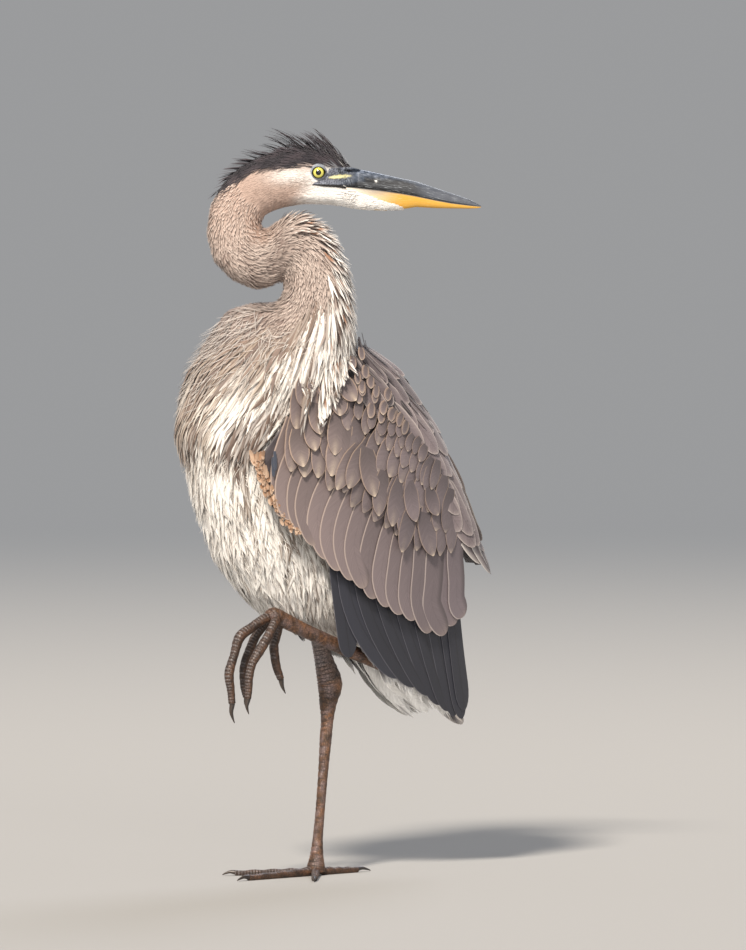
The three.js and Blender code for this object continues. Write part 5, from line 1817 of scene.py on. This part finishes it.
def build_eyes():
    """Yellow irises and black pupils under the bulge of the cornea."""
    rings, sides, radius = 40, 48, chosen("eye_radius")
    p, t = np.meshgrid(np.linspace(0.0, math.pi, rings),
                       np.linspace(0, 2 * math.pi, sides, endpoint=False), indexing="ij")
    r = radius * np.sin(p)
    out = EYE_OUT + radius * np.cos(p) + 0.7 * bell(r, 4.6) * (p < math.pi / 2) - 0.5
    yellow = mix(tint("e8e06a"), tint("b9b23a"), ramp(3.0, 6.2, r))
    rays = 0.5 + 0.5 * np.sin(t * 23 + np.sin(t * 7) * 2)
    yellow = mix(yellow, tint("f3efa0"), rays * 0.3 * ramp(2.4, 4, r))
    iris = mix(tint("050506"), yellow, ramp(2.6, 2.85, r))
    iris = mix(iris, tint("0c0b09"), ramp(5.2, 5.6, r))
    iris = np.where((p > math.pi / 2)[..., None], tint("1b1a14"), iris)
    uv = 0.5 + 0.45 * (p / math.pi)[..., None] * np.stack([np.cos(t), np.sin(t)], -1)
    for side, name in ((1, "left"), (-1, "right")):
        points = np.stack([EYE_X + r * np.cos(t), side * out, EYE_Z + r * np.sin(t)], -1)
        faces = grid_faces(rings, sides, closed=True)[:, ::side]
        made = mesh_of(name + "_eyeball", from_head(points), faces, iris, {"OFBake": uv})
        finished(made, "eye", ["eye_" + name])


LID_ROWS = [  # distance from the eye's axis, and how far out it stands from mid head
    [5.9, 15.7], [6.1, 16.6], [6.5, 17.0], [7.0, 17.1], [7.4, 16.8], [7.8, 16.9], [8.5, 16.6],
    [9.3, 15.8], [10.5, 14.4], [12.2, 12.6],
]


def lids():
    """Soft folds of lid that close round each eye, oval and a little tighter above."""
    sides = 56
    turn = np.linspace(0, 2 * math.pi, sides, endpoint=False)[None]
    r, out = np.array(LID_ROWS).T[:, :, None]
    tight = ramp(9, 6, r)
    corner = bell(turn - 0.15, 0.3) + bell(turn - 2 * math.pi - 0.15, 0.3)
    x = EYE_X + r * np.cos(turn) * 1.03 + corner * tight * 0.9
    z = EYE_Z + r * np.sin(turn) * (1 - 0.07 * tight) - 0.25 * tight * (np.sin(turn) > 0)
    wrinkle = 0.12 * np.sin(turn * 19 + r * 2) * ramp(6.3, 7.5, r)
    fine = speckle(np.stack([x, z, 0 * x], -1), 2.4, 21)
    behind = 0.5 + 0.5 * np.cos(turn - math.radians(140)) + 0 * r
    pale = mix(LORE_SLATE * 0.8, LID_BLUE, np.clip(-0.05 + 0.8 * behind + 0.5 * fine, 0, 1))
    ring = mix(tint("0d0d10"), pale, ramp(6.85, 7.15, r))
    ring = mix(ring, tint("23242a"), bell(r - 7.9, 0.3) * 0.55)
    ring = mix(ring, LORE_DARK, np.clip(0.5 - behind + 0.4 * fine, 0, 0.6) * ramp(6.8, 7.2, r))
    points, colours, faces, uvs = [], [], [], []
    for number, side in enumerate((1, -1)):
        whole = from_head(np.stack([x, side * (out + wrinkle), z], -1))
        outward = np.broadcast_to(turned([0, side, 0]), (x.size, 3))
        faded = markings(Spots(whole.reshape(-1, 3), outward)).reshape(whole.shape)
        points.append(whole)
        colours.append(mix(ring, faded, ramp(8.3, 9.3, r + 0.5 * fine)))
        faces.append((grid_faces(len(LID_ROWS), sides, closed=True) + number * x.size)[:, ::-side])
        uvs.append(np.stack([0.5 - 0.25 * side + 0.018 * r * np.cos(turn),
                             0.5 + 0.018 * r * np.sin(turn)], -1))
    made = mesh_of("eyelids", np.concatenate(points), np.concatenate(faces),
                   np.concatenate(colours), {"OFBake": np.concatenate(uvs)})
    finished(made, "skin")


# ---- legs

LEG_BROWN = tint("56402f")
LEG_DARK = tint("2e201c")
# Mauve-grey mottling of the tarsus, which also paints a highlight on its front.
LEG_MAUVE_AND_HIGHLIGHT = tint("8d7a79")
# Pale top of the tarsus, and a painted highlight on the plates of the toes.
LEG_PALE_AND_HIGHLIGHT = tint("b9b3b5")
CLAW_DARK = tint("2b2421")

TARSUS_RIGHT = [[-28.5, 22.6, 250, 8.6], [-28.2, 25, 238, 8.6], [-27.6, 28, 226, 9.4],
                [-26.5, 31.5, 213, 11.2], [-25.3, 34.2, 202.5, 12.6], [-24.4, 34.6, 193, 12.4],
                [-22.5, 31, 178, 9.2], [-20, 28, 160, 6.6], [-17, 24, 140, 6.2],
                [-13.5, 19, 113, 5.3], [-10, 14, 86, 4.9], [-6.5, 9, 60, 4.9],
                [-3.5, 4.5, 36, 5.4], [-1.2, 1.5, 18, 7.4], [0, 0, 9, 9.4], [0, 0, 4, 9.0]]
TARSUS_LEFT = [[34.6, 44, 254, 7.0], [33.4, 56, 244, 6.9], [31, 72, 231, 7.5],
               [29.4, 87, 223, 9.2], [29, 96, 214, 10.6], [29, 95, 209, 10.6],
               [29.4, 82, 213, 8.6], [30.2, 68, 218, 7.4], [31.5, 52, 223.5, 7.2],
               [32.5, 27, 232.5, 7.2], [33.5, 2, 242, 7.2], [34.3, -22, 251.5, 7.2],
               [35, -45, 261, 7.4], [35.6, -66, 270, 8.2], [36, -78, 274, 9.0],
               [36.2, -84, 271, 6.5]]
STANDING_TOES = [  # turn from the bird's front towards its left, length, radius, claw length
    ("middle", 9, 96, 5.0, 17), ("inner", 54, 74, 4.6, 15), ("outer", -33, 84, 4.6, 14),
    ("hind", 188, 58, 4.8, 20)]
LIFTED_TOES = {
    "middle": [[36, -80, 272, 6], [36, -89.5, 271.5, 5.2], [36.5, -106, 263, 5], [37, -121, 253.5, 5.4],
               [37, -128, 235, 4.4], [37, -134, 217, 4.9], [37, -132, 200, 4], [37, -130.5, 186, 3.6]],
    "outer": [[40, -77, 271, 6], [46, -84, 266, 5], [49, -94, 254, 4.9], [50, -105, 240, 5.2],
              [50, -114, 227, 4.3], [50, -118, 213, 4.2], [50, -118.5, 202, 3.8],
              [50, -119.5, 191, 3.3]],
    "inner": [[32, -77, 271, 6], [27, -83, 265, 4.8], [23, -91, 254, 4.7], [21.5, -97, 241, 4.8],
              [21, -105, 222, 4.2], [21, -105, 203, 3.8], [21, -102, 191, 3.4]],
    "hind": [[35.5, -72, 268, 5], [35, -71.5, 262.5, 4.8], [34, -73.5, 252, 4.6],
             [33.5, -76, 243, 4.8], [33.5, -73, 223, 4.4], [33.5, -67.5, 209, 3.6]],
}
LIFTED_CLAWS = {
    "middle": [[37, -130.7, 189, 3.2], [37, -130.4, 184.8, 2.9], [37, -131.4, 176, 2.0],
               [37, -127.5, 165.5, 0.4]],
    "outer": [[50, -119.4, 194, 3.0], [50, -119.6, 189.8, 2.7], [50, -121, 183, 1.8],
              [50, -118.5, 175, 0.4]],
    "inner": [[21, -102.3, 194, 3.0], [21, -101.9, 189.4, 2.7], [21, -102.6, 183.6, 1.7],
              [21, -99.5, 177, 0.4]],
    "hind": [[33.5, -67.8, 212, 3.0], [33.5, -67, 207.6, 2.8], [33.5, -65.4, 201, 1.9],
             [33.5, -61.5, 193.5, 0.4]],
}


def tubes(name, parts, sides, colour, shape=None, lowest=None):
    """Round lengths from (centres, radii), joined as one mesh, with maps in cm along and around."""
    points, colours, faces, maps, bakes = [], [], [], [], []
    turn = np.linspace(0, 2 * math.pi, sides, endpoint=False)
    first = np.arange(sides)
    second = (first + 1) % sides
    start = 0
    for number, (line, size) in enumerate(parts):
        flow = unit(np.gradient(line, axis=0))
        along = np.concatenate([[0], np.cumsum(np.linalg.norm(np.diff(line, axis=0), axis=1))])
        side = unit(np.cross(flow, [0.001, -1.0, 0.2]))
        front = unit(np.cross(side, flow))
        a, t = np.meshgrid(along, turn, indexing="ij")
        r = size[:, None] * (shape(a, t, number) if shape else 1.0)
        ring = (line[:, None] + front[:, None] * (np.cos(t) * r)[..., None]
                + side[:, None] * (np.sin(t) * r)[..., None])
        ends = np.stack([line[0], line[-1] + flow[-1] * size[-1] * 0.6])
        whole = np.concatenate([ring.reshape(-1, 3), ends])
        if lowest is not None:
            whole[:, 2] = np.maximum(whole[:, 2], lowest)
        tone = colour(a, t, number).reshape(-1, 3)
        tip = first * 0 + a.size
        last = a.size - sides
        faces += [rows[:, ::-1] + start for rows in (
            grid_faces(len(line), sides, closed=True),
            np.stack([tip, second, first, first], -1),
            np.stack([tip + 1, last + first, last + second, last + second], -1))]
        maps += [np.stack([t * np.median(size) / 10, a / 10 + number * 7.3], -1).reshape(-1, 2),
                 [[0, 0], [0, 0]]]
        bakes += [np.stack([(number + 0.05 + 0.9 * t / (2 * math.pi)) / len(parts),
                            a / max(along[-1], 1)], -1).reshape(-1, 2),
                  [[(number + 0.5) / len(parts), 0.0], [(number + 0.5) / len(parts), 1.0]]]
        points.append(whole)
        colours += [tone, tone[:1], tone[-1:]]
        start += len(whole)
    return mesh_of(name, np.concatenate(points), np.concatenate(faces), np.concatenate(colours),
                   {"OFBake": np.concatenate(bakes), "Vane": np.concatenate(maps)})


def finely(rows, gap=1.0):
    """A table of (x, y, z, radius) rows drawn out to one row for every gap mm."""
    rows = np.asarray(rows, float)
    length = np.linalg.norm(np.diff(rows[:, :3], axis=0), axis=1).sum()
    fine = between(rows, np.linspace(0, len(rows) - 1, max(8, int(length / gap))))
    return fine[:, :3], np.maximum(fine[:, 3], 0.2)


def standing_toe(turn, length, radius):
    share = np.linspace(0, 1, 9)
    size = radius * (1 - 0.34 * share) * np.where(np.arange(9) % 2, 0.88, 1)
    out = 6 + share * (length - 6)
    turn = math.radians(turn)
    return np.stack([out * math.sin(turn), -out * math.cos(turn),
                     size * 0.86 + np.where(share == 0, 1.5, 0), size], -1)


def standing_claw(turn, length, radius, reach):
    base = radius * 0.5
    turn = math.radians(turn)
    rows = [[-3, base + 1, base], [1, base + 1.2, base], [reach * 0.4, base + 1.6, base * 0.72],
            [reach * 0.78, base * 0.7 + 0.6, base * 0.42], [reach - 0.5, 0.9, 0.4]]
    return [[(length + out) * math.sin(turn), -(length + out) * math.cos(turn), z, size]
            for out, z, size in rows]


def plates(along, number):
    """How far along its horny plate each place is, 0 to 1. The tarsus comes first, then the toes."""
    return (along / (4.2 if number == 0 else 3.2)) % 1.0


def leg_shape(along, turn, number):
    """Overlapping plates along the front of a tarsus and the tops of toes, and rough pads below."""
    saw = plates(along, number)
    step = np.where(saw < 0.82, 0.04 - 0.03 * saw, -0.05)
    pad = 0.03 * np.sin(along / 1.4) * np.sin(turn * 9)
    return 1 + ramp(0.1, 0.7, np.cos(turn)) * step + ramp(0.2, 0.8, -np.cos(turn)) * pad


def leg_colour(along, turn, number):
    front = ramp(0.0, 0.7, np.cos(turn))
    saw = plates(along, number)
    worn = np.stack([along, turn * 6, 0 * along + number * 31.0], -1)
    base = mix(LEG_BROWN, chosen("leg"), np.clip(0.5 + 0.5 * speckle(worn, 18, 5), 0, 1))
    base = mix(base, LEG_DARK, ramp(0.0, 0.7, speckle(worn, 5, 6)) * 0.6)
    if number == 0:
        # Mauve-grey patches on the tarsus, stronger on its front: mottling, with a painted highlight on
        # the front.
        grey = np.clip(0.25 + 0.6 * speckle(worn, 9, 7), 0, 0.75)
        base = mix(base, LEG_MAUVE_AND_HIGHLIGHT, grey * (0.5 + 0.5 * front))
        base = mix(base, LEG_PALE_AND_HIGHLIGHT, ramp(62, 20, along) * 0.4)
    else:
        base = mix(base, LEG_DARK, 0.45 + 0.25 * front)
        # Pale bands across the tops of the toes' plates: painted highlight.
        base = mix(base, LEG_PALE_AND_HIGHLIGHT, bell(saw - 0.45, 0.14) * front * 0.45)
    return mix(base, LEG_DARK, bell(saw - 0.9, 0.1) * front * 0.75)


def claw_colour(along, turn, number):
    return mix(CLAW_DARK, tint("57493f"), ramp(0.2, 1, np.cos(turn)) * 0.4)


def build_legs():
    """The right leg stands on the floor, so nothing of it goes below, and the left is lifted."""
    names = [toe[0] for toe in STANDING_TOES]
    right = [TARSUS_RIGHT] + [standing_toe(*toe[1:4]) for toe in STANDING_TOES]
    left = [TARSUS_LEFT] + [LIFTED_TOES[n] for n in names]
    for side, parts, lowest in (("right", right, 0.0), ("left", left, None)):
        made = tubes(side + "_leg_scales", [finely(rows) for rows in parts], 22, leg_colour,
                     leg_shape, lowest)
        nodes = ["tibia", "tarsus"] + ["toe_" + n for n in names]
        finished(made, "scale", [side + "_" + n for n in nodes])
    right = [standing_claw(*toe[1:]) for toe in STANDING_TOES]
    left = [LIFTED_CLAWS[n] for n in names]
    for side, parts, lowest in (("right", right, 0.2), ("left", left, None)):
        made = tubes(side + "_claws", [finely(rows, 0.6) for rows in parts], 16, claw_colour,
                     lowest=lowest)
        finished(made, "claw", [side + "_claw_" + n for n in names])


# ---- stage

FLOOR_GREY = "a9a8a6"
ROOM_GREY = "e4e5e7"
FLOOR_REACH = 60  # metres from the middle to each edge
FADE_FROM, FADE_TO = 1.5, 9.0  # metres from the middle where the floor fades into the room
AIM_ASIDE, AIM_HEIGHT = 0.0593, 0.4173  # metres from the origin to where the camera looks
SEEN_HEIGHT = 0.988  # metres of height in the picture, at the bird
SENSOR_HEIGHT = 36


def toward(azimuth, height):
    """The way to a place seen that far round from the bird's front to its left, and that high."""
    return Vector((math.sin(azimuth) * math.cos(height), -math.cos(azimuth) * math.cos(height),
                   math.sin(height)))


def stand(name, data, aim, way, away):
    """Puts a lamp or camera away metres from aim, looking back at it, as part of the stage."""
    made = bpy.data.objects.new(name, data)
    made.location = aim + way * away
    made.rotation_euler = way.to_track_quat("Z", "Y").to_euler()
    bpy.context.scene.collection.objects.link(made)
    return made


def build_stage(values):
    scene = bpy.context.scene
    scene.view_settings.view_transform = "Standard"
    corners = np.array([[-1, -1, 0], [1, -1, 0], [1, 1, 0], [-1, 1, 0]]) * FLOOR_REACH / MM
    floor = mesh_of("pale_floor", corners, [[0, 1, 2, 3]], smooth=False)
    made = blank_material("pale_matt_board")
    tree = made.node_tree
    board = add(tree, "BsdfPrincipled", Base_Color=paint(FLOOR_GREY), Roughness=0.9)
    haze = add(tree, "Emission", Color=paint(ROOM_GREY), Strength=values.room_light)
    here = add(tree, "NewGeometry")
    away = add(tree, "VectorMath", {"operation": "LENGTH"}, _0=here)
    far = add(tree, "MapRange", {"interpolation_type": "SMOOTHSTEP"}, Value=away.outputs["Value"],
              From_Min=FADE_FROM, From_Max=FADE_TO)
    both = add(tree, "MixShader", _0=far, _1=board, _2=haze)
    add(tree, "OutputMaterial", Surface=both)
    floor.data.materials.append(made)

    world = bpy.data.worlds.new("soft_room")
    world.use_nodes = True
    back = world.node_tree.nodes["Background"]
    back.inputs["Color"].default_value = paint(ROOM_GREY)
    back.inputs["Strength"].default_value = values.room_light
    scene.world = world

    for name, azimuth, height, spread, power, shade in (
            ("key_sun", 36, 43, 9, values.key_power, "fff4e6"),
            ("fill_sun", 66, 14, 40, values.key_power * 0.15, "fbf6f0"),
            ("rim_sun", 215, 40, 25, values.key_power * 0.18, "eef2ff")):
        lamp = bpy.data.lights.new(name, "SUN")
        lamp.angle = math.radians(spread)
        lamp.energy = power
        lamp.color = paint(shade)[:3]
        stand(name, lamp, Vector(), toward(math.radians(azimuth), math.radians(height)), 4)

    lens = bpy.data.cameras.new("camera")
    # It looks past the bird's own axis, as far to the side as the bird stands off the middle.
    aim = Vector((math.cos(values.azimuth) * AIM_ASIDE, math.sin(values.azimuth) * AIM_ASIDE,
                  AIM_HEIGHT))
    lens.sensor_fit = "VERTICAL"
    lens.sensor_height = SENSOR_HEIGHT
    lens.lens = SENSOR_HEIGHT * values.distance / SEEN_HEIGHT
    lens.clip_end = 200
    scene.camera = stand("camera", lens, aim, toward(values.azimuth, values.elevation),
                         values.distance)


# ---- the add-on

class HeronPlumageValues(bpy.types.PropertyGroup):
    """Colours and lengths of the bird."""
    cap: FloatVectorProperty(name="Cap", description="Dark slate of the cap and crest", size=3,
        subtype="COLOR", min=0.0, max=1.0, default=paint("2d2930")[:3])
    cheek: FloatVectorProperty(name="Cheek", description="White of the cheek and chin", size=3,
        subtype="COLOR", min=0.0, max=1.0, default=paint("fbf8f4")[:3])
    neck: FloatVectorProperty(name="Neck", description="Fawn of the neck", size=3,
        subtype="COLOR", min=0.0, max=1.0, default=paint("87746c")[:3])
    breast: FloatVectorProperty(name="Breast", description="Taupe under the breast's streaks", size=3,
        subtype="COLOR", min=0.0, max=1.0, default=paint("7f706b")[:3])
    plume: FloatVectorProperty(name="Plume", description="White of the breast's long plumes", size=3,
        subtype="COLOR", min=0.0, max=1.0, default=paint("fcf9f4")[:3])
    belly: FloatVectorProperty(name="Belly", description="White of the belly", size=3,
        subtype="COLOR", min=0.0, max=1.0, default=paint("fbf8f3")[:3])
    covert: FloatVectorProperty(name="Covert", description="Grey of the wing's coverts", size=3,
        subtype="COLOR", min=0.0, max=1.0, default=paint("786d71")[:3])
    quill: FloatVectorProperty(name="Quill", description="Grey of the secondary quills", size=3,
        subtype="COLOR", min=0.0, max=1.0, default=paint("7c7176")[:3])
    primary: FloatVectorProperty(name="Primary", description="Slate of the primary quills", size=3,
        subtype="COLOR", min=0.0, max=1.0, default=paint("2e303b")[:3])
    leg: FloatVectorProperty(name="Leg", description="Orange brown of the leg's scales", size=3,
        subtype="COLOR", min=0.0, max=1.0, default=paint("8f664a")[:3])
    breast_length: FloatProperty(name="Breast plume", description="Length of the longest breast plumes",
        default=0.084, min=0.02, unit="LENGTH", subtype="DISTANCE")
    belly_length: FloatProperty(name="Belly plume", description="Length of the belly's plumes",
        default=0.05, min=0.01, unit="LENGTH", subtype="DISTANCE")
    eye_radius: FloatProperty(name="Eyeball", description="Radius of each eyeball",
        default=0.0082, min=0.004, unit="LENGTH", subtype="DISTANCE")


class HeronStageValues(bpy.types.PropertyGroup):
    """Light and camera."""
    room_light: FloatProperty(name="Room light", description="Strength of the even light",
        default=0.42, min=0.0, subtype="FACTOR")
    key_power: FloatProperty(name="Key light", description="Strength of the main soft light",
        default=4.8, min=0.0, subtype="FACTOR")
    azimuth: FloatProperty(name="Azimuth", description="Camera's turn from the bird's front to its left",
        default=math.radians(55), unit="ROTATION", subtype="ANGLE")
    elevation: FloatProperty(name="Elevation", description="Camera's angle above level",
        default=math.radians(2), unit="ROTATION", subtype="ANGLE")
    distance: FloatProperty(name="Distance", description="Camera's distance from the bird",
        default=9.0, unit="LENGTH", subtype="DISTANCE")


class HERON_OT_skin(bpy.types.Operator):
    """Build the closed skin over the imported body, with its markings and its unwrapped map"""
    bl_idname = "heron.skin"
    bl_label = "Skin"

    def execute(self, context):
        skin = build_skin()
        unwrap(skin)
        add_colours(skin.data, markings(Spots(places_of(skin), normals_of(skin))))
        finished(skin, "skin", FLESH)
        return {"FINISHED"}


class HERON_OT_head_plumage(bpy.types.Operator):
    """Grow the cap, the cheeks, the chin and the raised crest"""
    bl_idname = "heron.head_plumage"
    bl_label = "Cap, cheeks and crest"

    def execute(self, context):
        head_plumage()
        return {"FINISHED"}


class HERON_OT_neck_plumage(bpy.types.Operator):
    """Grow the neck's short down and the lances of the foreneck"""
    bl_idname = "heron.neck_plumage"
    bl_label = "Neck plumage"

    def execute(self, context):
        neck_plumage()
        return {"FINISHED"}


class HERON_OT_breast_plumage(bpy.types.Operator):
    """Grow the breast's down and its long streaked plumes"""
    bl_idname = "heron.breast_plumage"
    bl_label = "Breast plumes"

    def execute(self, context):
        breast_plumage()
        return {"FINISHED"}


class HERON_OT_belly_plumage(bpy.types.Operator):
    """Grow the belly, flanks, thighs and lower back"""
    bl_idname = "heron.belly_plumage"
    bl_label = "Belly and thighs"

    def execute(self, context):
        belly_plumage()
        return {"FINISHED"}


class HERON_OT_left_wing(bpy.types.Operator):
    """Lay the left wing from its quills up to its scapulars"""
    bl_idname = "heron.left_wing"
    bl_label = "Left wing"

    def execute(self, context):
        build_wing("left")
        return {"FINISHED"}


class HERON_OT_right_wing(bpy.types.Operator):
    """Lay the right wing, whose front is tucked under the breast"""
    bl_idname = "heron.right_wing"
    bl_label = "Right wing"

    def execute(self, context):
        build_wing("right")
        return {"FINISHED"}


class HERON_OT_tail(bpy.types.Operator):
    """Lay the tail's quills and the white down under them"""
    bl_idname = "heron.tail"
    bl_label = "Tail"

    def execute(self, context):
        build_tail()
        return {"FINISHED"}


class HERON_OT_bill(bpy.types.Operator):
    """Build both halves of the bill, the bare lores and the mouth's seam"""
    bl_idname = "heron.bill"
    bl_label = "Bill and lores"

    def execute(self, context):
        build_bill()
        build_lores()
        build_gape()
        return {"FINISHED"}


class HERON_OT_eyes(bpy.types.Operator):
    """Build the eyeballs and the folds of lid round them"""
    bl_idname = "heron.eyes"
    bl_label = "Eyes and lids"

    def execute(self, context):
        build_eyes()
        lids()
        return {"FINISHED"}


class HERON_OT_legs(bpy.types.Operator):
    """Build the scaly legs, the toes and the claws"""
    bl_idname = "heron.legs"
    bl_label = "Legs and claws"

    def execute(self, context):
        build_legs()
        return {"FINISHED"}


class HERON_OT_stage(bpy.types.Operator):
    """Set the floor, the room, the lights and the camera"""
    bl_idname = "heron.stage"
    bl_label = "Stage"

    def execute(self, context):
        build_stage(context.scene.heron_stage)
        return {"FINISHED"}


OPERATORS = [
    HERON_OT_skin, HERON_OT_head_plumage, HERON_OT_neck_plumage, HERON_OT_breast_plumage,
    HERON_OT_belly_plumage, HERON_OT_left_wing, HERON_OT_right_wing, HERON_OT_tail, HERON_OT_bill,
    HERON_OT_eyes, HERON_OT_legs, HERON_OT_stage,
]


class HERON_PT_panel(bpy.types.Panel):
    """The heron's sizes and colours, and its pieces in the order they are made"""
    bl_label = "Heron"
    bl_idname = "HERON_PT_panel"
    bl_space_type = "VIEW_3D"
    bl_region_type = "UI"
    bl_category = "Heron"

    def draw(self, context):
        for values in (context.scene.heron_plumage, context.scene.heron_stage):
            for name in values.__annotations__:
                self.layout.prop(values, name)
        for kind in OPERATORS:
            self.layout.operator(kind.bl_idname)


CLASSES = [HeronPlumageValues, HeronStageValues, *OPERATORS, HERON_PT_panel]


def register():
    for kind in CLASSES:
        bpy.utils.register_class(kind)
    bpy.types.Scene.heron_plumage = PointerProperty(type=HeronPlumageValues)
    bpy.types.Scene.heron_stage = PointerProperty(type=HeronStageValues)


def unregister():
    del bpy.types.Scene.heron_plumage
    del bpy.types.Scene.heron_stage
    for kind in reversed(CLASSES):
        bpy.utils.unregister_class(kind)


def main():
    register()
    for kind in OPERATORS:
        group, name = kind.bl_idname.split(".")
        getattr(getattr(bpy.ops, group), name)()


if __name__ == "__main__":
    main()
